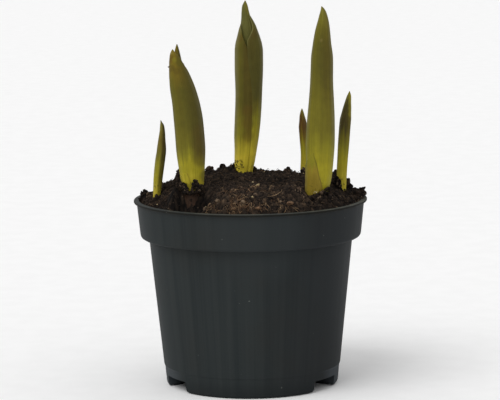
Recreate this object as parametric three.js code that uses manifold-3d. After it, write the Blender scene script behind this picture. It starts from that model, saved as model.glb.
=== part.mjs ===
// Potted gladiolus: a 13 cm nursery pot of peat with six young shoots, each on its own corm.
// Millimetres, +Z up, origin on the ground under the middle of the pot. The front is -Y, right is +X.
import * as THREE from 'three';
import { mergeVertices } from 'three/addons/utils/BufferGeometryUtils.js';
import Module from 'manifold-3d';

const wasm = await Module();
wasm.setup();

// Driving dimensions
const POT_HEIGHT = 104;
const LIP_RADIUS = 65;
const LIP_THICKNESS = 1.3;
const BAND_TOP_RADIUS = 63.4;
const BAND_LOW_RADIUS = 61.7;
const BAND_LOW_Z = 83;
const BODY_TOP_RADIUS = 56.8;
const RING_RADIUS = 49.5;
const RING_Z = 11.5;
const BASE_RADIUS = 48.4;
const WALL = 1.2;
const GAP = 0.3;
const AROUND = 72;

// Feet, drain channels and drain holes
const CHANNEL_HEIGHT = 6.5;
const CHANNEL_HALF_WIDTH = 10.7;
const CHANNEL_FLARE = 3;
const CHANNEL_ANGLES = [87.6, 207.6, 327.6];
const HUB_RADIUS = 26;
const DRAIN_RADIUS = 4;
const DRAIN_DISTANCE = 37;

// Soil mound, measured from the lip's plane
const SOIL_TOP_RADIUS = 61.4;
const SOIL_RINGS = 18;
const MOUND_HEIGHT = 11.3;
const MOUND_POWER = 6;
const EDGE_DROP = 2.5;
const EDGE_TILT = 1.5;
const CRUMB_COUNT = 260;
const CRUMB_RELIEF = 3;

// Corms and leaves
const CROWN_Z = 98;
const LEAF_THICKNESS = 0.75;
const LEAF_GAP = 0.4;
const LAYER = LEAF_THICKNESS + LEAF_GAP;
const HOLE_TOP_Z = 134;
const SWEEP_STEP = 28;

const COLOURS = {
  pot: { color: 0x353938, roughness: 0.42 },
  soil: { color: 0x33281f, roughness: 0.95 },
  corm: { color: 0x4a2c1a, roughness: 0.7 },
  leaf: { color: 0x6b6428, roughness: 0.45 },
  sheath: { color: 0x8e7f2c, roughness: 0.5 },
};

const plant = new THREE.Group();

function addPiece(name, geometry, look) {
  const material = new THREE.MeshStandardMaterial({ ...COLOURS[look], metalness: 0 });
  const mesh = new THREE.Mesh(geometry, material);
  mesh.name = name;
  plant.add(mesh);
}

// Solid helpers

// Welds a geometry's shared corners, drops flat triangles and turns its faces outwards
function closedBody(geometry) {
  const bare = new THREE.BufferGeometry();
  bare.setAttribute('position', geometry.getAttribute('position'));
  bare.setIndex(geometry.getIndex());
  const welded = mergeVertices(bare, 1e-4);
  const position = welded.getAttribute('position');
  const source = welded.getIndex().array;
  const a = new THREE.Vector3();
  const b = new THREE.Vector3();
  const c = new THREE.Vector3();
  const kept = [];
  let volume = 0;
  for (let i = 0; i < source.length; i += 3) {
    const [p, q, r] = [source[i], source[i + 1], source[i + 2]];
    if (p === q || q === r || r === p) continue;
    kept.push(p, q, r);
    a.fromBufferAttribute(position, p);
    b.fromBufferAttribute(position, q);
    c.fromBufferAttribute(position, r);
    volume += a.dot(b.cross(c));
  }
  if (volume < 0) kept.reverse();
  welded.setIndex(kept);
  return welded;
}

function toSolid(geometry) {
  const body = closedBody(geometry);
  return new wasm.Manifold(new wasm.Mesh({
    numProp: 3,
    vertProperties: Float32Array.from(body.getAttribute('position').array),
    triVerts: Uint32Array.from(body.getIndex().array),
  }));
}

function toGeometry(solid) {
  const mesh = solid.getMesh();
  const geometry = new THREE.BufferGeometry();
  geometry.setAttribute('position', new THREE.BufferAttribute(mesh.vertProperties, 3));
  geometry.setIndex(new THREE.BufferAttribute(mesh.triVerts, 1));
  geometry.computeVertexNormals();
  return geometry;
}

// Turns a closed outline of [radius, height] points about the Z axis through (x, y)
function turned(outline, segments, x = 0, y = 0) {
  const points = outline.map(([radius, height]) => new THREE.Vector2(radius, height));
  const geometry = new THREE.LatheGeometry(points, segments);
  geometry.rotateX(Math.PI / 2);
  geometry.translate(x, y, 0);
  return closedBody(geometry);
}

// Joins rings of equal length into one closed body, its two ends filled with strips
function loft(rings) {
  const size = rings[0].length;
  const positions = rings.flat().flatMap((point) => [point.x, point.y, point.z]);
  const index = [];
  for (let s = 0; s + 1 < rings.length; s += 1) {
    for (let k = 0; k < size; k += 1) {
      const next = (k + 1) % size;
      const [low, lowNext] = [s * size + k, s * size + next];
      index.push(low, lowNext, lowNext + size, low, lowNext + size, low + size);
    }
  }
  for (const [start, flip] of [[0, false], [(rings.length - 1) * size, true]]) {
    for (let k = 0; k < size / 2 - 1; k += 1) {
      const [p, q] = [start + k, start + k + 1];
      const [r, t] = [start + size - 2 - k, start + size - 1 - k];
      if (flip) index.push(p, q, r, p, r, t);
      else index.push(p, r, q, p, t, r);
    }
  }
  const geometry = new THREE.BufferGeometry();
  geometry.setAttribute('position', new THREE.Float32BufferAttribute(positions, 3));
  geometry.setIndex(index);
  return closedBody(geometry);
}

// A smooth curve through rows of [key, value, value, ...] with rising keys
function follow(rows, key, column = 1) {
  const last = rows.length - 1;
  if (key <= rows[0][0]) return rows[0][column];
  if (key >= rows[last][0]) return rows[last][column];
  let i = 0;
  while (key > rows[i + 1][0]) i += 1;
  const slope = (j) => (rows[j + 1][column] - rows[j][column]) / (rows[j + 1][0] - rows[j][0]);
  const tangent = (j) => {
    if (j === 0) return slope(0);
    if (j === last) return slope(last - 1);
    const [before, after] = [slope(j - 1), slope(j)];
    return before * after <= 0 ? 0 : (2 * before * after) / (before + after);
  };
  const span = rows[i + 1][0] - rows[i][0];
  const t = (key - rows[i][0]) / span;
  const start = (1 + 2 * t) * (1 - t) ** 2 * rows[i][column];
  const end = t * t * (3 - 2 * t) * rows[i + 1][column];
  return start + end + span * (t * (1 - t) ** 2 * tangent(i) - t * t * (1 - t) * tangent(i + 1));
}

// A straight run between the same kind of rows
function between(rows, key, column = 1) {
  const last = rows.length - 1;
  if (key <= rows[0][0]) return rows[0][column];
  if (key >= rows[last][0]) return rows[last][column];
  let i = 0;
  while (key > rows[i + 1][0]) i += 1;
  const t = (key - rows[i][0]) / (rows[i + 1][0] - rows[i][0]);
  return rows[i][column] + t * (rows[i + 1][column] - rows[i][column]);
}

// Pot

function potOutside() {
  const outline = [[0, 0], [BASE_RADIUS - 1.6, 0], [BASE_RADIUS - 0.5, 0.6], [BASE_RADIUS, 2.4]];
  outline.push([RING_RADIUS - 0.5, RING_Z - 0.6], [RING_RADIUS, RING_Z]);
  outline.push([BODY_TOP_RADIUS, BAND_LOW_Z - 0.4]);
  outline.push([BAND_LOW_RADIUS - 1.8, BAND_LOW_Z], [BAND_LOW_RADIUS - 0.6, BAND_LOW_Z + 0.6]);
  outline.push([BAND_LOW_RADIUS, BAND_LOW_Z + 2], [BAND_TOP_RADIUS, POT_HEIGHT - LIP_THICKNESS - 0.2]);
  outline.push([LIP_RADIUS - 0.6, POT_HEIGHT - LIP_THICKNESS], [LIP_RADIUS, POT_HEIGHT - 0.9]);
  outline.push([LIP_RADIUS, POT_HEIGHT - 0.4], [LIP_RADIUS - 0.4, POT_HEIGHT]);
  outline.push([BAND_TOP_RADIUS - WALL + 0.4, POT_HEIGHT], [0, POT_HEIGHT]);
  return outline;
}

// The pot's hollow, drawn in by inset: 0 gives the wall's inner face, GAP the soil's side
function potHollow(inset, top) {
  const floor = WALL + inset;
  const shrink = WALL + inset;
  const outline = [[0, floor], [BASE_RADIUS - 2 - inset, floor], [BASE_RADIUS - shrink, floor + 1.5]];
  outline.push([BODY_TOP_RADIUS - shrink, BAND_LOW_Z + WALL + inset]);
  outline.push([BAND_LOW_RADIUS - 2 - inset, BAND_LOW_Z + WALL + inset]);
  outline.push([BAND_LOW_RADIUS - shrink, BAND_LOW_Z + 3.2 + inset]);
  outline.push([BAND_TOP_RADIUS - shrink, POT_HEIGHT - 3], [BAND_TOP_RADIUS - shrink, top], [0, top]);
  return outline;
}

// The open space under the pot: a round recess and three channels out to the side
function underside(grow) {
  const top = CHANNEL_HEIGHT + grow;
  const half = CHANNEL_HALF_WIDTH + grow;
  const wide = half + CHANNEL_FLARE;
  const below = -2;
  const section = new THREE.Shape();
  section.moveTo(-wide, below);
  section.lineTo(wide, below);
  section.lineTo(wide, 0);
  section.quadraticCurveTo(half, 0, half, CHANNEL_FLARE + grow);
  section.lineTo(half, top);
  section.lineTo(-half, top);
  section.lineTo(-half, CHANNEL_FLARE + grow);
  section.quadraticCurveTo(-half, 0, -wide, 0);
  const options = { depth: LIP_RADIUS, bevelEnabled: false, curveSegments: 4 };
  const hub = HUB_RADIUS + grow;
  let space = toSolid(turned([[0, below], [hub, below], [hub, top], [0, top]], AROUND / 2));
  for (const angle of CHANNEL_ANGLES) {
    const channel = new THREE.ExtrudeGeometry(section, options);
    channel.rotateX(Math.PI / 2);
    channel.rotateZ(THREE.MathUtils.degToRad(angle) + Math.PI / 2);
    space = space.add(toSolid(channel));
  }
  return space;
}

function drainHoles() {
  const places = CHANNEL_ANGLES.map((angle) => {
    const turn = THREE.MathUtils.degToRad(angle);
    return [DRAIN_DISTANCE * Math.cos(turn), DRAIN_DISTANCE * Math.sin(turn)];
  });
  places.push([0, 0]);
  const [low, high] = [CHANNEL_HEIGHT - 1, CHANNEL_HEIGHT + WALL + 1];
  const hole = [[0, low], [DRAIN_RADIUS, low], [DRAIN_RADIUS, high], [0, high]];
  return places.map(([x, y]) => toSolid(turned(hole, 20, x, y)));
}

function potSolid() {
  const hollow = toSolid(turned(potHollow(0, POT_HEIGHT + 5), AROUND)).subtract(underside(WALL));
  let pot = toSolid(turned(potOutside(), AROUND)).subtract(hollow).subtract(underside(0));
  for (const hole of drainHoles()) pot = pot.subtract(hole);
  return pot;
}

// Shoots

// Each shoot's outline from the corm up. Rows are height, centre x, centre y and width seen from
// the front. Depth rows are height and thickness over width. Turn is the blade's twist from above.
const SHOOTS = {
  left: {
    turn: 14,
    rows: [
      [98, -30.2, -31, 8.8], [108, -30.4, -31, 9.2], [113, -30.6, -31, 9.8], [118.5, -31.2, -31, 12],
      [125, -31.7, -31, 14], [138, -32.2, -31, 15.9], [151, -33.1, -31, 15.8], [160, -34.2, -31, 15],
      [168, -35.8, -31, 13.9], [174.4, -37.4, -31, 12.2], [180.9, -38.9, -31, 9.3],
      [184.2, -39.4, -31, 7.6], [187.4, -39.6, -31, 6.4], [189.4, -39.65, -31, 4.7], [190.5, -39.65, -31, 4],
    ],
    depth: [[98, 0.85], [120, 0.66], [150, 0.56], [175, 0.52], [184, 0.6], [190, 0.6]],
  },
  left_inner: {
    turn: 14,
    rows: [
      [98, -30.2, -31, 5.6], [113, -30.6, -31, 6.6], [125, -31.7, -31, 9.6], [151, -33.1, -31, 11.6],
      [168, -35.8, -31, 9.8], [174.4, -37.4, -31, 8], [180.9, -38.5, -30.4, 5.6], [184.2, -38.6, -30.1, 4.4],
      [187.4, -38.7, -30, 3.2], [190.5, -38.8, -30, 1.9],
    ],
    depth: [[98, 0.8], [120, 0.55], [175, 0.42], [184, 0.5], [190, 0.6]],
  },
  middle: {
    turn: -6,
    rows: [
      [98, -4.8, 29, 9.6], [110, -4.1, 29, 10], [116.1, -3.6, 29, 10.5], [120.1, -3.1, 29, 11.5],
      [128.1, -2.3, 29, 12.8], [136.1, -1.7, 29, 14.2], [144, -1.05, 29, 14.8], [160, -0.2, 29, 15.2],
      [175.9, 0.03, 29, 16.2], [183.8, 0.1, 29, 16.1], [187.7, 0.05, 29, 15.2], [191.7, 0, 29, 13.1],
      [195.7, -0.2, 29, 10.7], [199, -0.5, 29, 8.9], [202.4, -0.75, 29, 6.2], [205.8, -1.4, 29, 4.2],
    ],
    depth: [[98, 0.9], [120, 0.74], [150, 0.61], [180, 0.59], [192, 0.68], [205, 0.75]],
  },
  middle_spear: {
    turn: -6,
    rows: [
      [98, -4.9, 29, 4.6], [116, -3.8, 29, 5.4], [136, -1.7, 29, 8.8], [160, -0.3, 29, 10.4],
      [183.8, 0.05, 29, 11], [189, 0.05, 29, 9.2], [194.3, -0.2, 29.1, 7.6], [199, -0.6, 29.4, 6.4],
      [202.4, -1.2, 29.6, 5.5], [205.8, -1.65, 29.6, 4.3], [209.2, -1.8, 29.6, 3.2],
    ],
    depth: [[98, 0.75], [130, 0.46], [190, 0.42], [206, 0.5]],
  },
  right: {
    turn: 8,
    rows: [
      [98, 34.6, -31, 9], [107, 35.2, -31, 10], [113.5, 36.7, -31, 12.6], [118, 37.4, -31, 13.6],
      [126, 38, -31, 14.6], [138.6, 38.4, -31, 15.8], [150, 38.8, -31, 15.2], [161.5, 39.2, -31, 13.7],
      [172, 39.4, -31, 12.5], [184.4, 39.7, -31, 12], [191.9, 39.75, -31, 10.1], [199.5, 40.1, -31, 8],
      [206, 40.5, -31, 5.2], [209.2, 40.5, -31, 3.4], [211.4, 40.1, -31, 1.6],
    ],
    depth: [[98, 0.9], [118, 0.6], [150, 0.46], [185, 0.38], [211, 0.5]],
  },
  far_left: {
    turn: -28,
    rows: [
      [98, -52.4, -15, 3.8], [108.5, -51.6, -16, 4.1], [113, -51.2, -16, 4.6], [119.6, -50.5, -16, 5.2],
      [128, -49.4, -16, 5.5], [133.5, -48.6, -16, 5.2], [139, -48.3, -16, 4.1], [144.5, -47.95, -16, 2.9],
      [147.3, -48.05, -16, 2.2], [149, -48.5, -16, 0.9],
    ],
    depth: [[98, 0.95], [115, 0.8], [135, 0.7], [149, 0.8]],
  },
  back_right: {
    turn: 20,
    rows: [
      [98, 30.6, 37, 4.2], [112, 30.9, 38, 4.4], [124, 31.4, 38, 4.6], [133, 31, 38, 5],
      [138.7, 30.6, 38, 5], [142.7, 30.4, 38, 4], [146.7, 30, 38, 2.5], [149, 30, 38, 1.1],
    ],
    depth: [[98, 0.95], [115, 0.75], [135, 0.6], [149, 0.8]],
  },
  far_right: {
    turn: -12,
    rows: [
      [98, 49.6, -11, 4.6], [110, 50.4, -12, 5], [120, 50.7, -12, 5.6], [127, 51.15, -12, 5.8],
      [138, 51.95, -12, 6.2], [148.5, 52.85, -12, 6.2], [151.8, 53.3, -12, 5.4], [155.1, 53.8, -12, 4.6],
      [158.4, 54.3, -12, 3.5], [161.7, 54.9, -12, 2.4], [163.6, 55.15, -12, 1],
    ],
    depth: [[98, 0.9], [115, 0.6], [140, 0.5], [163, 0.7]],
  },
};

// A point of the shoot's surface, drawn in by inset. Angle 0 is right, -90 is the front.
function surfacePoint(shoot, z, degrees, inset, shift = 0) {
  const turn = THREE.MathUtils.degToRad(shoot.turn);
  const ratio = between(shoot.depth, z);
  const seen = Math.hypot(Math.cos(turn), ratio * Math.sin(turn));
  const halfWidth = between(shoot.rows, z, 3) / 2 / seen;
  const across = Math.max(halfWidth - inset, 0.15);
  const deep = Math.max(halfWidth * ratio - inset, 0.12);
  const angle = THREE.MathUtils.degToRad(degrees) - turn;
  const [u, v] = [across * Math.cos(angle), deep * Math.sin(angle)];
  const x = between(shoot.rows, z, 1) + shift + u * Math.cos(turn) - v * Math.sin(turn);
  const y = between(shoot.rows, z, 2) + u * Math.sin(turn) + v * Math.cos(turn);
  return new THREE.Vector3(x, y, z);
}

// The heights of a shoot's rows, from just above the corm to a leaf's tip, shared by its leaves
function levels(shoot, tip) {
  const inside = shoot.rows.map(([z]) => z).filter((z) => z > CROWN_Z && z < tip - 0.5);
  return [CROWN_Z + GAP, ...inside, tip];
}

// A thick sword blade that ends in a point; keel raises a ridge along its front and back
function bladeLeaf(shoot, { tip, keel = 0, sides = 12, like = shoot }) {
  const rings = levels(like, tip.z).map((z) => Array.from({ length: sides }, (_, k) => {
    if (z === tip.z) return tip.clone();
    const degrees = (360 * k) / sides;
    const ridge = keel * Math.abs(Math.sin(THREE.MathUtils.degToRad(degrees))) ** 6;
    return surfacePoint(shoot, z, degrees, -ridge);
  }));
  return loft(rings);
}

// The levels of a wrapped leaf, with more where its margins run round quickly
function marginLevels(shoot, margins) {
  const tip = margins[margins.length - 1][0];
  const coarse = levels(shoot, tip);
  const fine = [coarse[0]];
  for (let i = 1; i < coarse.length; i += 1) {
    const [low, high] = [coarse[i - 1], coarse[i]];
    const sweep = [1, 2].map((side) => Math.abs(follow(margins, high, side) - follow(margins, low, side)));
    const steps = Math.ceil(Math.max(...sweep) / SWEEP_STEP) || 1;
    for (let k = 1; k <= steps; k += 1) fine.push(low + ((high - low) * k) / steps);
  }
  return fine;
}

// A leaf wrapped about what it encloses, from a start angle to an end angle that close at its tip
function wrappedLeaf(shoot, { margins, inset = 0, shift = 0, sides = 9 }) {
  const rings = marginLevels(shoot, margins).map((z) => {
    const [start, end] = [follow(margins, z, 1), follow(margins, z, 2)];
    const angles = Array.from({ length: sides + 1 }, (_, k) => start + ((end - start) * k) / sides);
    const outer = angles.map((angle) => surfacePoint(shoot, z, angle, inset, shift));
    const inner = angles.map((angle) => surfacePoint(shoot, z, angle, inset + LEAF_THICKNESS, shift));
    return [...outer, ...inner.reverse()];
  });
  return loft(rings);
}

// Left shoot: its outer leaf ends in a blunt torn tip, and the inner leaf's tip stands behind it
function leftShoot() {
  const shoot = SHOOTS.left;
  const outerMargins = [
    [98, -285, 60], [165, -285, 55], [178, -250, 20], [183.4, -225, -15],
    [187, -205, -61], [189.4, -190, -110], [190.3, -160, -160],
  ];
  const sheathMargins = [[98, -290, -60], [114, -280, -100], [119, -235, -98], [123.3, -108, -108]];
  const sheath = wrappedLeaf(shoot, { margins: sheathMargins, inset: -LAYER });
  const tip = new THREE.Vector3(-38.8, -30, 192.8);
  addPiece('left_shoot_outer_leaf', wrappedLeaf(shoot, { margins: outerMargins, sides: 14 }), 'leaf');
  addPiece('left_shoot_inner_leaf', bladeLeaf(SHOOTS.left_inner, { tip, like: shoot }), 'leaf');
  addPiece('left_shoot_base_sheath', sheath, 'sheath');
}

// Middle shoot: a spear leaf between two leaves, the right one lapping over the left one in front
function middleShoot() {
  const shoot = SHOOTS.middle;
  const leftMargins = [
    [98, -262, -55], [160, -262, -62], [180, -240, -85], [188.7, -215, -106],
    [191.5, -205, -120], [194.3, -200, -133], [199.3, -170, -170],
  ];
  const rightMargins = [
    [98, -60, 112], [134, -69, 112], [161, -78, 108], [176.3, -93, 92], [183, -98, 84],
    [189.3, -99, 70], [193.8, -78, 45], [198.2, -52, 20], [201.5, -52, 0], [203.2, -52, -14],
    [204.8, -40, -40],
  ];
  const left = wrappedLeaf(shoot, { margins: leftMargins, inset: LAYER, shift: -LAYER });
  const right = wrappedLeaf(shoot, { margins: rightMargins });
  const tip = new THREE.Vector3(-1.65, 29.6, 212.3);
  addPiece('middle_shoot_left_leaf', left, 'leaf');
  addPiece('middle_shoot_right_leaf', right, 'leaf');
  const spear = bladeLeaf(SHOOTS.middle_spear, { tip, like: shoot });
  addPiece('middle_shoot_spear_leaf', spear, 'leaf');
}

// Right shoot: one broad sword leaf with a short pointed sheath round its left side
function rightShoot() {
  const shoot = SHOOTS.right;
  const margins = [
    [98, -285, -50], [108, -280, -57], [114, -262, -68], [121, -225, -92],
    [127, -175, -104], [133.3, -122, -122],
  ];
  const tip = new THREE.Vector3(39.6, -31, 212.4);
  const sheath = wrappedLeaf(shoot, { margins, inset: -LAYER });
  addPiece('right_shoot_sword_leaf', bladeLeaf(shoot, { tip }), 'leaf');
  addPiece('right_shoot_base_sheath', sheath, 'sheath');
}

function smallShoots() {
  const tips = {
    far_left: new THREE.Vector3(-48.7, -16, 149.9),
    back_right: new THREE.Vector3(30, 38, 149.8),
    far_right: new THREE.Vector3(55.2, -12, 164.4),
  };
  for (const [name, tip] of Object.entries(tips)) {
    const leaf = bladeLeaf(SHOOTS[name], { tip, keel: 0.35 });
    addPiece(`${name}_shoot_leaf`, leaf, 'leaf');
  }
}

// Corms

// Each corm sits under its shoot. Its skin rises in a neck that the shoot stands in.
const CORMS = {
  left: { x: -28, y: -27.5, radius: 13.5, half: 9.5, neck: 7.9, neckX: -30.6, neckY: -31, neckTop: 113 },
  middle: { x: -4.8, y: 28, radius: 15, half: 10, neck: 7, neckX: -4.5, neckY: 29, neckTop: 106 },
  right: { x: 31.5, y: -27, radius: 13.5, half: 9.5, neck: 8.2, neckX: 35, neckY: -31, neckTop: 103 },
  far_left: { x: -51, y: -14.6, radius: 7.4, half: 6, neck: 3.9, neckX: -52.2, neckY: -15.2, neckTop: 103 },
  back_right: { x: 29.4, y: 35.6, radius: 9, half: 7, neck: 4.1, neckX: 30.5, neckY: 37.3, neckTop: 104 },
  far_right: { x: 48.2, y: -10.4, radius: 8, half: 6.5, neck: 4.2, neckX: 49.9, neckY: -11.2, neckTop: 103 },
};
const NECK_SKIN = 0.9;
const CORM_SIDES = 12;

// The corm with its neck socket, or with grow above 0 the space that the soil leaves for it
function cormSolid(corm, grow) {
  const { radius, half, neck, neckTop } = corm;
  const middle = CROWN_Z - half;
  const shoulder = [[radius * 0.9, middle + half * 0.45], [neck + 1.5, CROWN_Z - 1.2]];
  const bulb = [[0, middle - half], [radius * 0.4, middle - half], [radius * 0.84, middle - half * 0.55]];
  bulb.push([radius, middle], ...shoulder, [0, CROWN_Z]);
  const grown = bulb.map(([r, z]) => {
    const out = r > 0 ? r + grow : 0;
    return [out, z + grow * Math.sign(z - middle + 1e-6)];
  });
  const ridge = [neck + grow, CROWN_Z - 2.5];
  const sleeve = [[0, middle], [neck * 0.6 + grow, middle], ridge, [neck + grow, CROWN_Z + 3]];
  sleeve.push([neck * 0.97 + grow, neckTop + grow], [0, neckTop + grow]);
  let solid = toSolid(turned(grown, CORM_SIDES, corm.x, corm.y));
  solid = solid.add(toSolid(turned(sleeve, CORM_SIDES, corm.neckX, corm.neckY)));
  if (grow === 0) {
    const socket = neck * 0.97 - NECK_SKIN;
    const bore = [[0, CROWN_Z], [socket, CROWN_Z], [socket, neckTop + 1], [0, neckTop + 1]];
    solid = solid.subtract(toSolid(turned(bore, CORM_SIDES, corm.neckX, corm.neckY)));
  }
  return solid;
}

function addCorms() {
  for (const [name, corm] of Object.entries(CORMS)) {
    addPiece(`${name}_corm`, toGeometry(cormSolid(corm, 0)), 'corm');
  }
}

// Soil

// Clods and hollows as x, y, height and spread
const CLODS = [
  [-39.6, -4, 8, 1.9], [-46, -12, 1, 5], [-41.3, -34.5, 6.5, 2.6], [-24, -30, 1, 5],
  [-33, -45.5, -9, 5.5], [-36.5, -39.5, -7, 3], [-28.5, -40.5, -3.5, 2.2], [-25, -41, -6, 3.5],
  [-24, 32, 2, 2], [-15.4, 33, 1.3, 1.8], [-12, 31, 2.6, 4], [-8.8, 30, 3.2, 2.2],
  [2, 36, 1.5, 2.2], [10, 36, -0.8, 3], [18, 31, -0.8, 3], [21.5, 33, 0.8, 2],
  [26, 32, -1.6, 2.6], [30.2, 33, 1.6, 1.4], [47.5, 5, 6, 2.4], [54.3, -9, 6, 1.4],
  [57, -8, -3, 1.5], [61.5, 1, 5, 2.6], [35, -38, -2.5, 5], [-59.8, 3, 6.4, 2.4],
  [10, -20, -1.5, 9], [43, -36, 1.5, 3.5], [-54, -22, -2, 4], [0, -48, 1, 7],
  [48, 30, 0.5, 5], [31.5, -37.5, -1.8, 2], [52.3, -15, -1.6, 1.6], [-19, 33, -1.4, 1.4],
];

// A small repeatable random number source
function seeded(seed) {
  let state = seed;
  return () => {
    state = (state * 1664525 + 1013904223) % 4294967296;
    return state / 4294967296;
  };
}

const random = seeded(11);
const CRUMBS = Array.from({ length: CRUMB_COUNT }, () => {
  const distance = SOIL_TOP_RADIUS * Math.sqrt(random());
  const angle = 2 * Math.PI * random();
  const height = (random() - 0.42) * CRUMB_RELIEF;
  return [distance * Math.cos(angle), distance * Math.sin(angle), height, 1.6 + 1.4 * random()];
});

function soilHeight(x, y) {
  const distance = Math.min(Math.hypot(x, y), SOIL_TOP_RADIUS);
  const edge = -EDGE_DROP + (EDGE_TILT * x) / Math.max(distance, 1);
  const fall = (distance / SOIL_TOP_RADIUS) ** MOUND_POWER;
  let height = MOUND_HEIGHT + (edge - MOUND_HEIGHT) * fall;
  for (const [cx, cy, rise, spread] of [...CLODS, ...CRUMBS]) {
    const away = ((x - cx) ** 2 + (y - cy) ** 2) / (2 * spread ** 2);
    if (away < 8) height += rise * Math.exp(-away);
  }
  return POT_HEIGHT + height;
}

// The mound's surface as rings of 6, 12, 18 ... points over a solid that fills the pot
function soilSolid() {
  const positions = [0, 0, soilHeight(0, 0)];
  const index = [];
  const ringStart = (ring) => (ring === 0 ? 0 : 1 + 3 * ring * (ring - 1));
  for (let ring = 1; ring <= SOIL_RINGS; ring += 1) {
    for (let k = 0; k < 6 * ring; k += 1) {
      const angle = (2 * Math.PI * k) / (6 * ring);
      const radius = (SOIL_TOP_RADIUS * ring) / SOIL_RINGS;
      const [x, y] = [radius * Math.cos(angle), radius * Math.sin(angle)];
      positions.push(x, y, soilHeight(x, y));
    }
  }
  for (let ring = 1; ring <= SOIL_RINGS; ring += 1) {
    const [inner, outer] = [ringStart(ring - 1), ringStart(ring)];
    const innerCount = Math.max(6 * (ring - 1), 1);
    for (let sector = 0; sector < 6; sector += 1) {
      for (let k = 0; k < ring; k += 1) {
        const a = outer + sector * ring + k;
        const b = outer + ((sector * ring + k + 1) % (6 * ring));
        const c = inner + ((sector * (ring - 1) + k) % innerCount);
        index.push(a, b, c);
        if (k + 1 < ring) index.push(b, inner + ((sector * (ring - 1) + k + 1) % innerCount), c);
      }
    }
  }
  const rim = ringStart(SOIL_RINGS);
  const count = 6 * SOIL_RINGS;
  const bottom = positions.length / 3;
  for (let k = 0; k < count; k += 1) {
    const angle = (2 * Math.PI * k) / count;
    positions.push(SOIL_TOP_RADIUS * Math.cos(angle), SOIL_TOP_RADIUS * Math.sin(angle), 0);
  }
  for (let k = 0; k < count; k += 1) {
    const next = (k + 1) % count;
    index.push(rim + k, bottom + k, bottom + next, rim + k, bottom + next, rim + next);
    if (k > 0 && next > 0) index.push(bottom, bottom + next, bottom + k);
  }
  const mound = new THREE.BufferGeometry();
  mound.setAttribute('position', new THREE.Float32BufferAttribute(positions, 3));
  mound.setIndex(index);
  const fill = toSolid(turned(potHollow(GAP, POT_HEIGHT + 40), AROUND)).subtract(underside(WALL + GAP));
  let soil = toSolid(mound).intersect(fill);
  for (const [name, corm] of Object.entries(CORMS)) {
    soil = soil.subtract(cormSolid(corm, LEAF_GAP)).subtract(shootHole(SHOOTS[name], name));
  }
  return soil;
}

// The plain hole that a shoot stands in, wider where a sheath wraps its base
function shootHole(shoot, name) {
  const sheath = name === 'right' || name === 'left' ? LAYER : 0;
  const rings = [CROWN_Z - 1, CROWN_Z + 15, CROWN_Z + 21, HOLE_TOP_Z].map((z) => (
    Array.from({ length: 12 }, (_, k) => surfacePoint(shoot, z, (360 * k) / 12, -0.8 - sheath))
  ));
  return toSolid(loft(rings));
}

addPiece('pot', toGeometry(potSolid()), 'pot');
addPiece('soil', toGeometry(soilSolid()), 'soil');
addCorms();
leftShoot();
middleShoot();
rightShoot();
smallShoots();

export default plant;
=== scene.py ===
import math

import bmesh
import bpy
import numpy as np
from mathutils import Euler, Matrix, Vector


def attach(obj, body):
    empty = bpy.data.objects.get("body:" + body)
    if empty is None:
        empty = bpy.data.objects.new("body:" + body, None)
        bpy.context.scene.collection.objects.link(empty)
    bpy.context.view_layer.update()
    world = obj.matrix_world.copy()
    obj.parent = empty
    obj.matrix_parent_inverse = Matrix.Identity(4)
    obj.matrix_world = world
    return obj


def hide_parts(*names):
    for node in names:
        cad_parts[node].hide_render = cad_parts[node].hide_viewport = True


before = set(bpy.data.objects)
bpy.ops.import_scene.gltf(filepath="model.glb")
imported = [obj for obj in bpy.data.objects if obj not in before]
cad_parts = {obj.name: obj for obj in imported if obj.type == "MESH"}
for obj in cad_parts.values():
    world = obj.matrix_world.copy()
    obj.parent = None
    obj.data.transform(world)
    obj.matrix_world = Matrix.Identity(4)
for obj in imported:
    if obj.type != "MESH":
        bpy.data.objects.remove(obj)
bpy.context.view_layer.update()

MM = 0.001

# Camera, at the photograph's viewing angle
CAMERA_DISTANCE = 1400
CAMERA_HEIGHT = 300.7
CAMERA_PITCH = 8.042
CAMERA_ROLL = -0.664
CAMERA_LENS = 182.46
CAMERA_SENSOR = 36
CAMERA_SHIFT = -0.0008

# Light, its angles in degrees
WORLD_STRENGTH = 0.72
SUN_STRENGTH = 1.15
SUN_HEIGHT = 52
SUN_SIDE = -42
SUN_SOFTNESS = 42
FLOOR_ALBEDO = 0.94

# Pot
POT_HEIGHT = 104
LIP_RADIUS = 65
LIP_THICKNESS = 1.3
BAND_TOP_RADIUS = 63.4
BAND_LOW_RADIUS = 61.7
BAND_LOW_Z = 83
BODY_TOP_RADIUS = 56.8
RING_RADIUS = 49.5
RING_Z = 11.5
BASE_RADIUS = 48.4
WALL = 1.2
GAP = 0.3
POT_AROUND = 288
CHANNEL_HEIGHT = 6.5
CHANNEL_HALF_WIDTH = 10.7
CHANNEL_FLARE = 3
CHANNEL_ANGLES = (87.6, 207.6, 327.6)
HUB_RADIUS = 26
DRAIN_RADIUS = 4
DRAIN_DISTANCE = 37
DRAIN_AROUND = 40

# Where the pot's colour changes: the middle of the band's painted sheen, and stretches from side to side for
# the painted highlight on the foot's sides, the painted shade on the right side and the lip top's wear and
# painted highlight, and heights for the painted shade low down
BAND_SHEEN = (4, -60, 92)
SHEEN_REACH = 34
FOOT_SIDES = (38, 45)
SHADED_SIDE = (-5, 45)
WORN_HIGHLIGHT_SIDE = (-55, -25)
SHADED_FOOT = (12, 2)

# Peat, its mound measured from the lip's plane
SOIL_RADIUS = 61.4
SOIL_EDGE_RADIUS = 61.9
SOIL_GRID = 288
PEAT_SINK = 1.2
PEAT_SIDE_TOP = 96
MOUND_HEIGHT = 11.3
MOUND_POWER = 6
EDGE_DROP = 2.5
EDGE_TILT = 1.5
BUMP_COUNT = 260
BUMP_RELIEF = 3
RASTER_CELL = 0.25
# Painted light: the peat is lighter about this point at the front, as if lit, and painted shade darkens it
# elsewhere
LIT_PATCH = (4, -42, 108)
LIT_REACH = 38
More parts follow.
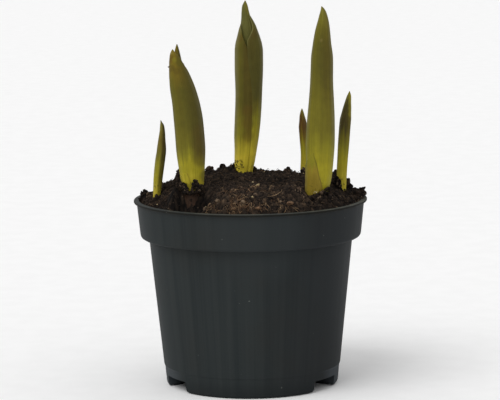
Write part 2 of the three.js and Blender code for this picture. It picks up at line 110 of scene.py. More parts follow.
# Painted shade on a shaded clump, in the hollow at the left shoot's foot and about it, and painted light on
# the hollow's darkened wall: centre, radius and how much darker the peat is there, or lighter where it is
# below nothing
SHADE_AND_LIGHT_PATCHES = (
    ((48, -8, 114), 12, 0.6), ((-27, -41, 108.5), 6.5, 0.8), ((-29, -38.5, 114), 7, 0.15),
    ((-38.5, -42, 106.5), 6, -0.8),
)

# What lies in and on the peat: how many, and their smallest and largest sizes
RELIEF_CRUMBS = 13000
RELIEF_CRUMB_RADII = (0.4, 1.9)
RELIEF_FIBRES = 3600
RELIEF_FIBRE_LENGTHS = (1.2, 3.8)
CRUMB_COUNT = 5200
CRUMB_RADII = (0.22, 0.64)
LUMP_COUNT = 420
LUMP_RADII = (0.5, 1.4)
PILE_RADII = (0.6, 1.4)
BANK_RADII = (0.45, 1)
FIBRE_COUNT = 1500
FIBRE_LENGTHS = (1.8, 7.8)
FIBRE_RADII = (0.07, 0.19)
DRY_FIBRE_LENGTHS = (2, 6.5)
DRY_FIBRE_RADII = (0.08, 0.18)
STRAY_RADIUS = 0.13
FIBRE_STEPS = 9
SCALE_COUNT = 30
SCALE_RADII = (0.2, 0.55)

# Leaves and corms
CROWN_Z = 98
LEAF_BOTTOM_Z = 98.3
LEAF_THICKNESS = 0.75
SHEATH_THICKNESS = 0.4
# How deep a wrapped leaf lies under the one that laps over it, as rows of height and depth
NO_LAP = ((98, 0), (99, 0))
LAP = ((98, 0.45), (132, 0.45), (148, 1.1))
LEVEL_STEP = 0.9
BLADE_SIDES = 96
WRAP_COLUMNS = 64
GRAIN_RADIUS = 6
NECK_SKIN = 0.9
NECK_OUTSIDE = 1.2
NECK_INSIDE = 0.8
CORM_AROUND = 96


def srgb(red, green, blue):
    """A colour as seen, 0 to 255, as the linear values that a shader takes."""
    def linear(value):
        share = value / 255
        return share / 12.92 if share <= 0.04045 else ((share + 0.055) / 1.055) ** 2.4

    return (linear(red), linear(green), linear(blue), 1)


# Curves and meshes

def follow(rows, key, column=1):
    """A smooth curve through rows of (key, value, ...) with rising keys, read at one key or at many."""
    table = np.asarray(rows, float)
    keys, values = table[:, 0], table[:, column]
    slope = np.diff(values) / np.diff(keys)
    before, after = slope[:-1], slope[1:]
    rising = before * after > 0
    tangent = np.concatenate([slope[:1], slope[1:], slope[-1:]])
    tangent[1:-1] = np.where(rising, 2 * before * after / np.where(rising, before + after, 1), 0)
    key = np.clip(key, keys[0], keys[-1])
    i = np.clip(np.searchsorted(keys, key, side="right") - 1, 0, len(keys) - 2)
    span = keys[i + 1] - keys[i]
    t = (key - keys[i]) / span
    start = (1 + 2 * t) * (1 - t) ** 2 * values[i] + t * (1 - t) ** 2 * span * tangent[i]
    end = t * t * (3 - 2 * t) * values[i + 1] - t * t * (1 - t) * span * tangent[i + 1]
    return start + end


def smooth_step(value, low, high):
    """0 below low, 1 above high and a smooth rise between them."""
    t = np.clip((np.asarray(value, float) - low) / (high - low), 0, 1)
    return t * t * (3 - 2 * t)


def between(random, limits, count=None, power=1):
    """Random values between two limits; a higher power leaves more of them near the low one."""
    low, high = limits
    return low + (high - low) * random.random(count) ** power


def make_mesh(name, points, *face_sets, smooth=True):
    """A mesh from points in millimetres and arrays of faces, each array with one number of corners."""
    mesh = bpy.data.meshes.new(name)
    corners = np.concatenate([np.asarray(faces).ravel() for faces in face_sets]).astype(np.int32)
    sizes = np.concatenate([np.full(len(faces), np.shape(faces)[1]) for faces in face_sets])
    mesh.vertices.add(len(points))
    mesh.vertices.foreach_set("co", (np.asarray(points) * MM).astype(np.float32).ravel())
    mesh.loops.add(len(corners))
    mesh.loops.foreach_set("vertex_index", corners)
    mesh.polygons.add(len(sizes))
    mesh.polygons.foreach_set("loop_start", (np.cumsum(sizes) - sizes).astype(np.int32))
    mesh.polygons.foreach_set("use_smooth", np.full(len(sizes), smooth))
    mesh.update(calc_edges=True)
    mesh.validate()
    return mesh


def add_attribute(mesh, name, values):
    """Stores a number or a vector for each point of the mesh, for its material to read."""
    values = np.asarray(values, np.float32)
    kind, field = ("FLOAT", "value") if values.ndim == 1 else ("FLOAT_VECTOR", "vector")
    mesh.attributes.new(name, kind, "POINT").data.foreach_set(field, values.ravel())


def ring_sides(levels, around):
    """The four-cornered faces between closed rings of points."""
    low = np.arange(levels - 1)[:, None] * around
    here = np.arange(around)[None, :]
    there = (here + 1) % around
    return np.stack([low + here, low + there, low + around + there, low + around + here], -1).reshape(-1, 4)


def loft_faces(levels, around):
    """The faces of a closed body through rings, its two ends filled with strips."""
    half = np.arange(around // 2 - 1)
    strip = np.stack([half, around - 1 - half, around - 2 - half, half + 1], -1)
    top = strip[:, ::-1] + (levels - 1) * around
    return np.concatenate([ring_sides(levels, around), strip, top])


def new_object(name, mesh):
    piece = bpy.data.objects.new(name, mesh)
    bpy.context.scene.collection.objects.link(piece)
    return piece


def add_piece(name, mesh, look, slot, *nodes):
    """Shows a piece of the plant, riding on the one body and standing for the nodes named."""
    piece = new_object(name, mesh)
    mesh.materials.clear()
    mesh.materials.append(look)
    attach(piece, "root")
    if nodes:
        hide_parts(*nodes)
    return piece


# Materials

class Look:
    """A node material: one Principled shader, and short calls that add the nodes feeding it."""

    def __init__(self, name, roughness, specular=0.5):
        self.material = bpy.data.materials.new(name)
        self.material.use_nodes = True
        self.tree = self.material.node_tree
        self.shader = self.tree.nodes["Principled BSDF"]
        self.shader.inputs["Roughness"].default_value = roughness
        self.shader.inputs["Specular IOR Level"].default_value = specular
        self.place = self.add("ShaderNodeTexCoord").outputs["Object"]

    def add(self, kind, inputs=(), **settings):
        node = self.tree.nodes.new(kind)
        for setting, value in settings.items():
            setattr(node, setting, value)
        for socket, value in dict(inputs).items():
            self.feed(node.inputs[socket], value)
        return node

    def feed(self, socket, value):
        if isinstance(value, bpy.types.NodeSocket):
            self.tree.links.new(value, socket)
        else:
            socket.default_value = value

    def calculate(self, operation, first, second=0.5, third=0.5):
        return self.add("ShaderNodeMath", {0: first, 1: second, 2: third}, operation=operation).outputs[0]

    def plus(self, first, second):
        return self.calculate("ADD", first, second)

    def times(self, first, second, plus=0.0):
        """The product of two values, and a third one added to it."""
        return self.calculate("MULTIPLY_ADD", first, second, plus)

    def swing(self, noise, size):
        """A noise that swings to both sides of nothing."""
        return self.times(noise, size, -size / 2)

    def scaled(self, vector, factors):
        return self.add("ShaderNodeVectorMath", {0: vector, 1: factors}, operation="MULTIPLY").outputs[0]

    def parts(self, vector):
        return self.add("ShaderNodeSeparateXYZ", {0: vector}).outputs

    def noise(self, vector, scale, detail, rough):
        inputs = {"Vector": vector, "Scale": scale, "Detail": detail, "Roughness": rough}
        return self.add("ShaderNodeTexNoise", inputs).outputs[0]

    def clouds(self, scale, detail=2.0, rough=0.5):
        """Noise of one size all through the piece."""
        return self.noise(self.place, scale, detail, rough)

    def streaks(self, vector, factors, detail=2.0, rough=0.5):
        """Noise drawn out by a factor for each direction."""
        return self.noise(self.scaled(vector, factors), 1.0, detail, rough)

    def rise(self, value, low, high, start=0.0, end=1.0):
        inputs = {"Value": value, "From Min": low, "From Max": high, "To Min": start, "To Max": end}
        return self.add("ShaderNodeMapRange", inputs, interpolation_type="SMOOTHSTEP").outputs[0]

    def rise_evenly(self, value, low, high):
        inputs = {"Value": value, "From Min": low, "From Max": high}
        return self.add("ShaderNodeMapRange", inputs, interpolation_type="LINEAR").outputs[0]

    def mix(self, share, first, second, blend="MIX"):
        node = self.add("ShaderNodeMix", {0: share, 6: first, 7: second}, data_type="RGBA", blend_type=blend)
        return node.outputs[2]

    def cover(self, colour, layers):
        """Lays further colours over the first one in turn, each given as (share, colour)."""
        for share, shade in layers:
            colour = self.mix(share, colour, shade)
        return colour

    def grey(self, value):
        return self.add("ShaderNodeCombineColor", {0: value, 1: value, 2: value}).outputs[0]

    def ramp(self, value, stops):
        """stops are (position, colour) pairs in rising order."""
        node = self.add("ShaderNodeValToRGB", {0: value})
        elements = node.color_ramp.elements
        while len(elements) < len(stops):
            elements.new(1)
        for element, (position, colour) in zip(elements, stops):
            element.position = position
            element.color = colour
        return node.outputs[0]

    def attribute(self, name, output="Vector"):
        return self.add("ShaderNodeAttribute", attribute_name=name).outputs[output]

    def island(self):
        """A random value for each separate bit of the mesh."""
        return self.add("ShaderNodeNewGeometry").outputs["Random Per Island"]

    def near(self, centre, radius):
        """1 at a point given in millimetres, falling to 0 at the radius."""
        point = tuple(value * MM for value in centre)
        away = self.add("ShaderNodeVectorMath", {0: self.place, 1: point}, operation="DISTANCE").outputs[1]
        return self.rise(away, radius * MM, radius * MM * 0.45)

    def finish(self, colour, bump=None, bump_height=0.1, roughness=None):
        """Links the colour, the bump (its height in millimetres) and a varied roughness to the shader."""
        self.feed(self.shader.inputs["Base Color"], colour)
        if bump is not None:
            inputs = {"Height": bump, "Distance": bump_height * MM, "Strength": 1.0}
            self.feed(self.shader.inputs["Normal"], self.add("ShaderNodeBump", inputs).outputs[0])
        if roughness is not None:
            self.feed(self.shader.inputs["Roughness"], roughness)
        return self.material


def pot_look():
    """Dull black plastic with faint upright streaks, dust near the lip and a few pale specks.

    Painted shade darkens its right side, its foot and the lip's outer face. A painted highlight runs along
    the foot's sides, a painted sheen lies on the band, and the lip's top is lighter, partly worn and partly
    painted highlight.
    """
    look = Look("pot_plastic", 0.6, 0.06)
    x, y, z = look.parts(look.scaled(look.place, (1 / MM, 1 / MM, 1 / MM)))[:3]
    wrapped = look.add("ShaderNodeCombineXYZ", {0: look.calculate("ARCTAN2", y, x), 1: z}).outputs[0]
    streaks = look.streaks(wrapped, (9, 0.0025, 1), 4.0, 0.6)
    fine_streaks = look.streaks(wrapped, (42, 0.004, 1), 3.0, 0.6)
    blotch = look.clouds(22.0, 3.0)
    # Painted highlight: a lighter strip along both sides of the foot, below the ring
    foot_side = look.rise(look.calculate("ABSOLUTE", x), *FOOT_SIDES)
    foot = look.times(look.rise(z, RING_Z + 0.3, RING_Z - 0.2), foot_side)
    dust = look.rise(look.clouds(240.0, 3.0), 0.4, 0.7)
    dust = look.times(look.rise(z, POT_HEIGHT - 5, POT_HEIGHT), dust)
    # Painted shade on the lip's outer face, just under its top edge
    lip = look.rise(z, POT_HEIGHT - 1.6, POT_HEIGHT - 1.2)
    lip = look.times(lip, look.rise(z, POT_HEIGHT - 0.05, POT_HEIGHT - 0.4))
    # The lip's top edge is lighter, partly from wear and partly as a painted highlight, weaker towards the
    # left side
    worn_and_highlit = look.times(look.rise(z, POT_HEIGHT - 0.25, POT_HEIGHT), look.rise(streaks, 0.35, 0.65, 0.3, 0.95))
    specks = look.rise(look.clouds(420.0, 1.0), 0.79, 0.83)
    colour = look.mix(look.rise(streaks, 0.3, 0.7), srgb(37, 42, 43), srgb(47, 51, 51))
    colour = look.cover(colour, [
        (look.rise(fine_streaks, 0.35, 0.75, 0, 0.35), srgb(48, 52, 53)),
        (look.rise(blotch, 0.45, 0.75, 0, 0.3), srgb(46, 44, 40)),
        # Painted shade on the right side, away from the light, and low down towards the floor
        (look.rise(x, *SHADED_SIDE, 0, 0.5), srgb(31, 32, 35)),
        (look.rise(z, *SHADED_FOOT, 0, 0.45), srgb(28, 31, 32)),
        (look.times(foot, 0.65), srgb(64, 69, 73)),
        # Painted sheen on the middle of the band
        (look.times(look.near(BAND_SHEEN, SHEEN_REACH), 0.55), srgb(48, 52, 53)),
        (look.times(dust, 0.3), srgb(60, 58, 52)),
        (look.times(lip, 0.85), srgb(26, 25, 21)),
        (look.times(worn_and_highlit, look.rise(x, *WORN_HIGHLIGHT_SIDE, 0.2, 1)), srgb(76, 76, 68)),
        (look.times(specks, 0.5), srgb(104, 106, 102)),
    ])
    grain = look.clouds(1500.0, 2.0)
    roughness = look.rise(look.times(blotch, 0.4, streaks), 0.4, 1.0, 0.52, 0.68)
    return look.finish(colour, grain, 0.03, roughness)


def peat_tone(look, colour):
    """Paints shade on the peat everywhere but a lit patch at the front, deeper painted shade in the patches
    listed, and painted light where a patch's strength is below nothing.
    """
    patch = look.clouds(30.0, 2.0)
    lit_front = look.plus(look.near(LIT_PATCH, LIT_REACH), look.swing(patch, 0.9))
    tone = look.rise(lit_front, -0.2, 1.1, 0.74, 1.22)
    for centre, radius, strength in SHADE_AND_LIGHT_PATCHES:
        tone = look.times(tone, look.times(look.near(centre, radius), -strength, 1.0))
    return look.mix(1.0, colour, look.grey(tone), "MULTIPLY")


def peat_look():
    """Crumbly dark peat, brown on the crumbs, with painted shade that turns it black in the hollows, lighter
    patches at random and a painted-light patch at the front.
    """
    look = Look("peat", 0.95, 0.1)
    # Painted shade: the attribute read here falls in the raster's hollows and darkens the peat there
    height = look.attribute("hollow_shade", "Fac")
    patch = look.clouds(60.0, 3.0)
    crumb = look.clouds(700.0, 3.0, 0.65)
    level = look.plus(height, look.swing(crumb, 0.9))
    level = look.plus(level, look.swing(patch, 0.7))
    stops = [(0.0, srgb(13, 12, 11)), (0.35, srgb(27, 22, 19)), (0.6, srgb(45, 37, 30))]
    stops += [(0.85, srgb(61, 49, 39)), (1.0, srgb(80, 65, 50))]
    return look.finish(peat_tone(look, look.ramp(level, stops)), crumb, 0.35)


def crumb_look():
    """Loose crumbs, each a little different from its neighbours."""
    look = Look("peat_crumb", 0.95, 0.1)
    island = look.island()
    grain = look.clouds(900.0, 3.0, 0.7)
    level = look.times(grain, 0.5, look.times(island, 0.75))
    stops = [(0.0, srgb(15, 13, 12)), (0.45, srgb(28, 23, 20)), (0.78, srgb(48, 39, 32))]
    stops += [(0.92, srgb(68, 55, 45)), (1.0, srgb(106, 90, 73))]
    return look.finish(peat_tone(look, look.ramp(level, stops)), grain, 0.2)


def fibre_look(name, dark, middle, light):
    look = Look(name, 0.85, 0.15)
    island = look.island()
    grain = look.clouds(1400.0, 2.0)
    stops = [(0.0, dark), (0.6, middle), (1.0, light)]
    return look.finish(peat_tone(look, look.ramp(island, stops)), grain, 0.05)


def plain_grain_look(name, dark, light, roughness=0.8):
    """A small thing of one kind of stuff, mottled between two colours."""
    look = Look(name, roughness, 0.35)
    mottle = look.clouds(900.0, 4.0, 0.65)
    return look.finish(look.mix(look.rise(mottle, 0.3, 0.7), dark, light), mottle, 0.15)


def corm_look():
    """Papery reddish-brown skin with upright fibres and paler blotches, under the same painted shade and
    light as the peat.
    """
    look = Look("corm_skin", 0.6, 0.1)
    grain = look.attribute("grain")
    fibres = look.streaks(grain, (1.6, 0.12, 0), 4.0, 0.65)
    mottle = look.clouds(160.0, 3.0)
    colour = look.mix(look.rise(fibres, 0.3, 0.7), srgb(44, 32, 24), srgb(76, 54, 39))
    colour = look.mix(look.rise(mottle, 0.5, 0.75, 0, 0.6), colour, srgb(84, 60, 46))
    return look.finish(peat_tone(look, colour), fibres, 0.25)


# glow is the leaves' pale yellow made brighter as painted light where their feet sit in shade; shadow is
# painted shade
PALETTE = {name: srgb(*seen) for name, seen in {
    "glow": (206, 186, 56), "gold": (172, 157, 44), "straw": (150, 140, 32),
    "amber": (134, 116, 36), "lime": (128, 121, 31), "moss": (105, 98, 28),
    "green": (96, 89, 26), "olive": (85, 79, 24), "dark": (72, 65, 22),
    "slate": (76, 71, 25), "sage": (94, 92, 44), "umber": (78, 64, 22),
    "shadow": (56, 47, 18), "bronze": (104, 89, 25), "rust": (88, 61, 20),
    "orange": (120, 102, 27), "tip": (120, 113, 42), "pale": (118, 114, 66),
    "dried": (168, 146, 96), "plum": (66, 57, 24), "bloom": (118, 114, 84),
    "peat": (30, 24, 19),
}.items()}
# Heights between which a leaf's colours run, and how far the streaks pull the borders between them
RAMP_LOW = 98
RAMP_HIGH = 214
JITTER = 16
# Heights over which the brown streaks and the pale edges, part waxy bloom and part painted rim highlight,
# come in and the dirt goes
STAIN_RISE = (124, 142)
BLOOM_AND_HIGHLIGHT_RISE = (120, 160)
DIRT_FALL = (122, 108)
TINT_RISE = 14
EDGE_BLOOM_AND_HIGHLIGHT = 0.5
ALL_ACROSS = -2
PALE_MARGIN = ("pale", 0.55, 176, 192, 0.1, ALL_ACROSS)


def leaf_look(name, stops, umber, left=None, right=None, spots=(), margin=PALE_MARGIN, bloom=EDGE_BLOOM_AND_HIGHLIGHT):
    """A sword leaf's skin: colours by height with streaked borders between them, and long fine veins.

    stops are (height, palette name). umber is how strong the brown streaks are. left and right paint light
    and shade towards that edge, mostly painted light on the side towards the light and painted shade on the
    other, with some of the leaf's own colour, as (palette name, strength, lowest height, where it starts
    across the leaf, -1 being the other edge). Spots are (centre, radius, palette name, strength).
    The margin's colour is (palette name, strength, from height, to height, share of it lower down, where it
    starts across the leaf)."""
    look = Look(name, 0.45, 0.12)
    grain = look.attribute("grain")
    height, side = look.parts(grain)[1:3]
    broad = look.streaks(grain, (0.28, 0.008, 0))
    streak = look.streaks(grain, (1.0, 0.016, 0), 3.0, 0.6)
    vein = look.streaks(grain, (3.4, 0.012, 0), 2.0, 0.6)
    mottle = look.clouds(260.0, 4.0, 0.6)

    shifted = look.times(look.plus(streak, broad), JITTER, look.plus(height, -JITTER))
    places = [((z - RAMP_LOW) / (RAMP_HIGH - RAMP_LOW), PALETTE[key]) for z, key in stops]
    colour = look.ramp(look.rise_evenly(shifted, RAMP_LOW, RAMP_HIGH), places)

    stain = look.times(look.rise(broad, 0.5, 0.68, 0, umber), look.rise(height, *STAIN_RISE))
    colour = look.mix(stain, colour, PALETTE["umber"])
    # Painted light and shade across the leaf: lighter towards the light, darker away from it, with some of
    # the leaf's own colour
    for sign, tint in ((-1.0, left), (1.0, right)):
        if tint:
            key, strength, low, start = tint
            toward = look.rise(look.times(side, sign), start, start + 0.8, 0, strength)
            share = look.times(toward, look.rise(height, low, low + TINT_RISE))
            colour = look.mix(share, colour, PALETTE[key])
    for centre, radius, key, strength in spots:
        share = look.times(look.near(centre, radius), strength)
        colour = look.mix(look.times(share, look.rise(mottle, 0.3, 0.6, 0.6, 1)), colour, PALETTE[key])
    # Pale edges where the leaf turns away: part waxy bloom, part painted rim highlight
    folded = look.rise(look.calculate("ABSOLUTE", side), 0.7, 1, 0, bloom)
    colour = look.mix(look.times(folded, look.rise(height, *BLOOM_AND_HIGHLIGHT_RISE, 0.4, 1)), colour, PALETTE["bloom"])
    key, strength, low, high, lower, start = margin
    rim = look.rise(look.attribute("margin", "Fac"), 0.8, 1, 0, strength)
    rim = look.times(rim, look.rise(side, start, start + 0.3))
    colour = look.mix(look.times(rim, look.rise(height, low, high, lower, 1)), colour, PALETTE[key])
    tone = look.times(look.plus(vein, mottle), 0.42, 0.58)
    colour = look.mix(1.0, colour, look.grey(tone), "MULTIPLY")
    dirt = look.rise(look.clouds(700.0, 3.0), 0.58, 0.68)
    dirt = look.times(look.rise(height, *DIRT_FALL), dirt)
    colour = look.mix(dirt, colour, PALETTE["peat"])
    roughness = look.rise(streak, 0.3, 0.7, 0.38, 0.52)
    return look.finish(colour, look.plus(vein, look.times(streak, 0.6)), 0.22, roughness)


# Pot

def rounded(outline):
    """An outline of (radius, height, rounding) corners, each drawn as a curve of that size."""
    points = [np.array(corner[:2], float) for corner in outline]
    drawn = []
    for i, point in enumerate(points):
        size = outline[i][2]
        if size == 0:
            drawn.append(point)
            continue
        before, after = points[i - 1] - point, points[i + 1] - point
        start = point + before * min(size / np.linalg.norm(before), 0.5)
        end = point + after * min(size / np.linalg.norm(after), 0.5)
        for t in np.linspace(0, 1, 5):
            drawn.append((1 - t) ** 2 * start + 2 * t * (1 - t) * point + t * t * end)
    return np.array(drawn)


def turned(name, outline, around, x=0, y=0):
    """A closed object from an outline that starts and ends on the axis, turned about (x, y)."""
    angles = np.linspace(0, 2 * math.pi, around, endpoint=False)
    body = outline[1:-1]
    ring_x = x + body[:, :1] * np.cos(angles)
    ring_y = y + body[:, :1] * np.sin(angles)
    ring_z = np.repeat(body[:, 1:], around, 1)
    rings = np.stack([ring_x, ring_y, ring_z], -1).reshape(-1, 3)
    poles = [[x, y, outline[0][1]], [x, y, outline[-1][1]]]
    here = np.arange(around)
    there = (here + 1) % around
    last = (len(body) - 1) * around
    low = np.stack([np.full(around, len(rings)), there, here], -1)
    high = np.stack([np.full(around, len(rings) + 1), last + here, last + there], -1)
    points = np.concatenate([rings, poles])
    mesh = make_mesh(name, points, ring_sides(len(body), around), np.concatenate([low, high]))
    return new_object(name, mesh)


def pot_outside():
    lip_low = POT_HEIGHT - LIP_THICKNESS
    return rounded([
        (0, 0, 0), (BASE_RADIUS - 0.4, 0, 2.2), (BASE_RADIUS + 0.6, RING_Z - 0.8, 0.3),
        (RING_RADIUS, RING_Z, 0.3), (BODY_TOP_RADIUS, BAND_LOW_Z, 0.5),
        (BAND_LOW_RADIUS - 0.3, BAND_LOW_Z, 2), (BAND_TOP_RADIUS, lip_low - 0.2, 0.3),
        (LIP_RADIUS, lip_low, 0.5), (LIP_RADIUS, POT_HEIGHT, 0.5),
        (BAND_TOP_RADIUS - WALL, POT_HEIGHT, 0.4), (0, POT_HEIGHT, 0),
    ])


def pot_hollow(inset, top):
    """The pot's hollow, drawn in by inset."""
    shrink = WALL + inset
    return rounded([
        (0, shrink, 0), (BASE_RADIUS - shrink, shrink, 1.5),
        (BODY_TOP_RADIUS - shrink, BAND_LOW_Z + shrink, 0.6),
        (BAND_LOW_RADIUS - shrink, BAND_LOW_Z + shrink, 1.6),
        (BAND_TOP_RADIUS - shrink, POT_HEIGHT - 3, 0), (BAND_TOP_RADIUS - shrink, top, 0), (0, top, 0),
    ])


def channel_body(name, angle, grow):
    """A drain channel under the pot, from its middle out past its side."""
    half = CHANNEL_HALF_WIDTH + grow
    top = CHANNEL_HEIGHT + grow
    side = [(half + CHANNEL_FLARE, -2)]
    for t in np.linspace(0, 1, 7):
        flare = half + CHANNEL_FLARE * (1 - t) ** 2
        side.append((flare, (CHANNEL_FLARE + grow) * t * t))
    for t in np.linspace(0, math.pi / 2, 5):
        side.append((half - 1 + math.cos(t), top - 1 + math.sin(t)))
    section = side + [(-across, z) for across, z in reversed(side)]
    body = bmesh.new()
    face = body.faces.new([body.verts.new((0, across * MM, z * MM)) for across, z in section])
    made = bmesh.ops.extrude_face_region(body, geom=[face])
    moved = [part for part in made["geom"] if isinstance(part, bmesh.types.BMVert)]
    bmesh.ops.translate(body, verts=moved, vec=(LIP_RADIUS * MM, 0, 0))
    bmesh.ops.recalc_face_normals(body, faces=body.faces)
    body.transform(Matrix.Rotation(math.radians(angle), 4, "Z"))
    mesh = bpy.data.meshes.new(name)
    body.to_mesh(mesh)
    body.free()
    return new_object(name, mesh)


def underside(grow):
    """The open space under the pot, as objects to cut away: a round recess and three channels."""
    radius = HUB_RADIUS + grow
    top = CHANNEL_HEIGHT + grow
    outline = rounded([(0, -2, 0), (radius, -2, 0), (radius, top, 1), (0, top, 0)])
    hub = turned("hub", outline, POT_AROUND // 2)
    return [hub] + [channel_body("channel", angle, grow) for angle in CHANNEL_ANGLES]


def cut(piece, cutters):
    """Cuts the other bodies out of the piece and removes them."""
    for cutter in cutters:
        modifier = piece.modifiers.new("cut", "BOOLEAN")
        modifier.operation = "DIFFERENCE"
        modifier.solver = "MANIFOLD"
        modifier.object = cutter
    graph = bpy.context.evaluated_depsgraph_get()
    made = bpy.data.meshes.new_from_object(piece.evaluated_get(graph))
    piece.modifiers.clear()
    piece.data = made
    for cutter in cutters:
        bpy.data.objects.remove(cutter)
    return made


def make_pot():
    hollow = turned("hollow", pot_hollow(0, POT_HEIGHT + 5), POT_AROUND)
    cut(hollow, underside(WALL))
    shell = turned("shell", pot_outside(), POT_AROUND)
    low, high = CHANNEL_HEIGHT - 1, CHANNEL_HEIGHT + WALL + 1
    outline = np.array([(0, low), (DRAIN_RADIUS, low), (DRAIN_RADIUS, high), (0, high)], float)
    places = [(0, 0)]
    for angle in np.radians(CHANNEL_ANGLES):
        places.append((DRAIN_DISTANCE * math.cos(angle), DRAIN_DISTANCE * math.sin(angle)))
    drains = [turned("drain", outline, DRAIN_AROUND, x, y) for x, y in places]
    mesh = cut(shell, [hollow, *underside(0), *drains])
    bpy.data.objects.remove(shell)
    mesh.set_sharp_from_angle(angle=math.radians(28))
    add_piece("pot_moulding", mesh, pot_look(), "pot_plastic", "pot")


# Peat

# Clods and hollows as x, y, height and spread
CLODS = [
    (-39.6, -4, 8, 1.9), (-46, -12, 1, 5), (-41.3, -34.5, 6.5, 2.6), (-24, -30, 1, 5),
    (-33, -45.5, -9, 5.5), (-36.5, -39.5, -7, 3), (-28.5, -40.5, -3.5, 2.2), (-25, -41, -6, 3.5),
    (-24, 32, 2, 2), (-15.4, 33, 1.3, 1.8), (-12, 31, 2.6, 4), (-8.8, 30, 3.2, 2.2),
    (2, 36, 1.5, 2.2), (10, 36, -0.8, 3), (18, 31, -0.8, 3), (21.5, 33, 0.8, 2),
    (26, 32, -1.6, 2.6), (30.2, 33, 1.6, 1.4), (47.5, 5, 6, 2.4), (54.3, -9, 6, 1.4),
    (57, -8, -3, 1.5), (61.5, 1, 5, 2.6), (35, -38, -2.5, 5), (-59.8, 3, 6.4, 2.4),
    (10, -20, -1.5, 9), (43, -36, 1.5, 3.5), (-54, -22, -2, 4), (0, -48, 1, 7),
    (48, 30, 0.5, 5), (31.5, -37.5, -1.8, 2), (52.3, -15, -1.6, 1.6), (-19, 33, -1.4, 1.4),
]


def peat_bumps():
    """Small rises and hollows from a repeatable number sequence, the same as in the solid."""
    state = 11
    draws = []
    for _ in range(4 * BUMP_COUNT):
        state = (state * 1664525 + 1013904223) % 2 ** 32
        draws.append(state / 2 ** 32)
    reach, turn, lift, width = np.array(draws).reshape(-1, 4).T
    distance = SOIL_RADIUS * np.sqrt(reach)
    angle = 2 * math.pi * turn
    x, y = distance * np.cos(angle), distance * np.sin(angle)
    return np.stack([x, y, (lift - 0.42) * BUMP_RELIEF, 1.6 + 1.4 * width], 1)


class Ground:
    """The peat's surface: the solid's mound, and a square raster of crumbs and matted fibres laid over it."""

    def __init__(self, random):
        self.rises = np.concatenate([CLODS, peat_bumps()])
        self.cells = int(2 * SOIL_EDGE_RADIUS / RASTER_CELL) + 12
        self.heights = np.zeros((self.cells, self.cells))
        for _ in range(RELIEF_CRUMBS):
            radius = between(random, RELIEF_CRUMB_RADII, power=3)
            self.draw(random, radius, between(random, (0.45, 0.95)), radius * between(random, (0.3, 1)))
        for _ in range(RELIEF_FIBRES):
            radius = between(random, RELIEF_FIBRE_LENGTHS, power=2)
            self.draw(random, radius, 0.34 / radius, between(random, (0.5, 1.2)))
        self.heights += 0.3 * self.soft(random.normal(size=self.heights.shape), 1)
        self.hollows = self.heights - self.soft(self.heights, 7)

    def mound(self, x, y):
        """The mound's height at points x, y, as the solid has it."""
        distance = np.minimum(np.hypot(x, y), SOIL_RADIUS)
        edge = -EDGE_DROP + EDGE_TILT * x / np.maximum(distance, 1)
        height = MOUND_HEIGHT + (edge - MOUND_HEIGHT) * (distance / SOIL_RADIUS) ** MOUND_POWER
        for cx, cy, rise, spread in self.rises:
            height += rise * np.exp(-((x - cx) ** 2 + (y - cy) ** 2) / (2 * spread ** 2))
        return POT_HEIGHT + height

    def top(self, x, y):
        """The crumbly surface's height at points x, y."""
        return self.mound(x, y) + self.at(x, y) - PEAT_SINK

    def draw(self, random, radius, squeeze, top):
        turn = math.pi * random.random()
        column, row = random.random(2) * self.cells
        reach = int(radius / RASTER_CELL) + 1
        columns = np.arange(max(int(column) - reach, 0), min(int(column) + reach + 1, self.cells))
        rows = np.arange(max(int(row) - reach, 0), min(int(row) + reach + 1, self.cells))
        dx, dy = (columns[None, :] - column) * RASTER_CELL, (rows[:, None] - row) * RASTER_CELL
        along = dx * math.cos(turn) + dy * math.sin(turn)
        across = (dy * math.cos(turn) - dx * math.sin(turn)) / squeeze
        cap = np.sqrt(np.maximum(1 - (along ** 2 + across ** 2) / radius ** 2, 0))
        patch = self.heights[rows[0]:rows[-1] + 1, columns[0]:columns[-1] + 1]
        np.maximum(patch, cap * top, out=patch)

    def soft(self, heights, reach):
        """The raster averaged over a square window, twice."""
        width = 2 * reach + 1
        for axis in (0, 1, 0, 1):
            padding = [(0, 0), (0, 0)]
            padding[axis] = (reach + 1, reach)
            total = np.cumsum(np.pad(heights, padding, mode="edge"), axis)
            upper, lower = np.split(total, [width], axis)[1], np.split(total, [-width], axis)[0]
            heights = (upper - lower) / width
        return heights

    def at(self, x, y, values=None):
        """Reads the raster at points in millimetres, straight between its cells."""
        values = self.heights if values is None else values
        column = np.clip(np.asarray(x) / RASTER_CELL + self.cells / 2, 0, self.cells - 1.001)
        row = np.clip(np.asarray(y) / RASTER_CELL + self.cells / 2, 0, self.cells - 1.001)
        c, r = column.astype(int), row.astype(int)
        u, v = column - c, row - r
        low = values[r, c] * (1 - u) + values[r, c + 1] * u
        high = values[r + 1, c] * (1 - u) + values[r + 1, c + 1] * u
        return low * (1 - v) + high * v


def disc_grid(count):
    """A square grid of points bent into a disc of radius 1, evenly spaced."""
    step = np.linspace(-1, 1, count)
    a, b = np.meshgrid(step, step)
    wide = np.abs(a) > np.abs(b)
    radius = np.where(wide, a, b)
    safe = np.where(radius == 0, 1, radius)
    turn = np.where(wide, math.pi / 4 * b / safe, math.pi / 2 - math.pi / 4 * a / safe)
    return radius * np.cos(turn), radius * np.sin(turn)


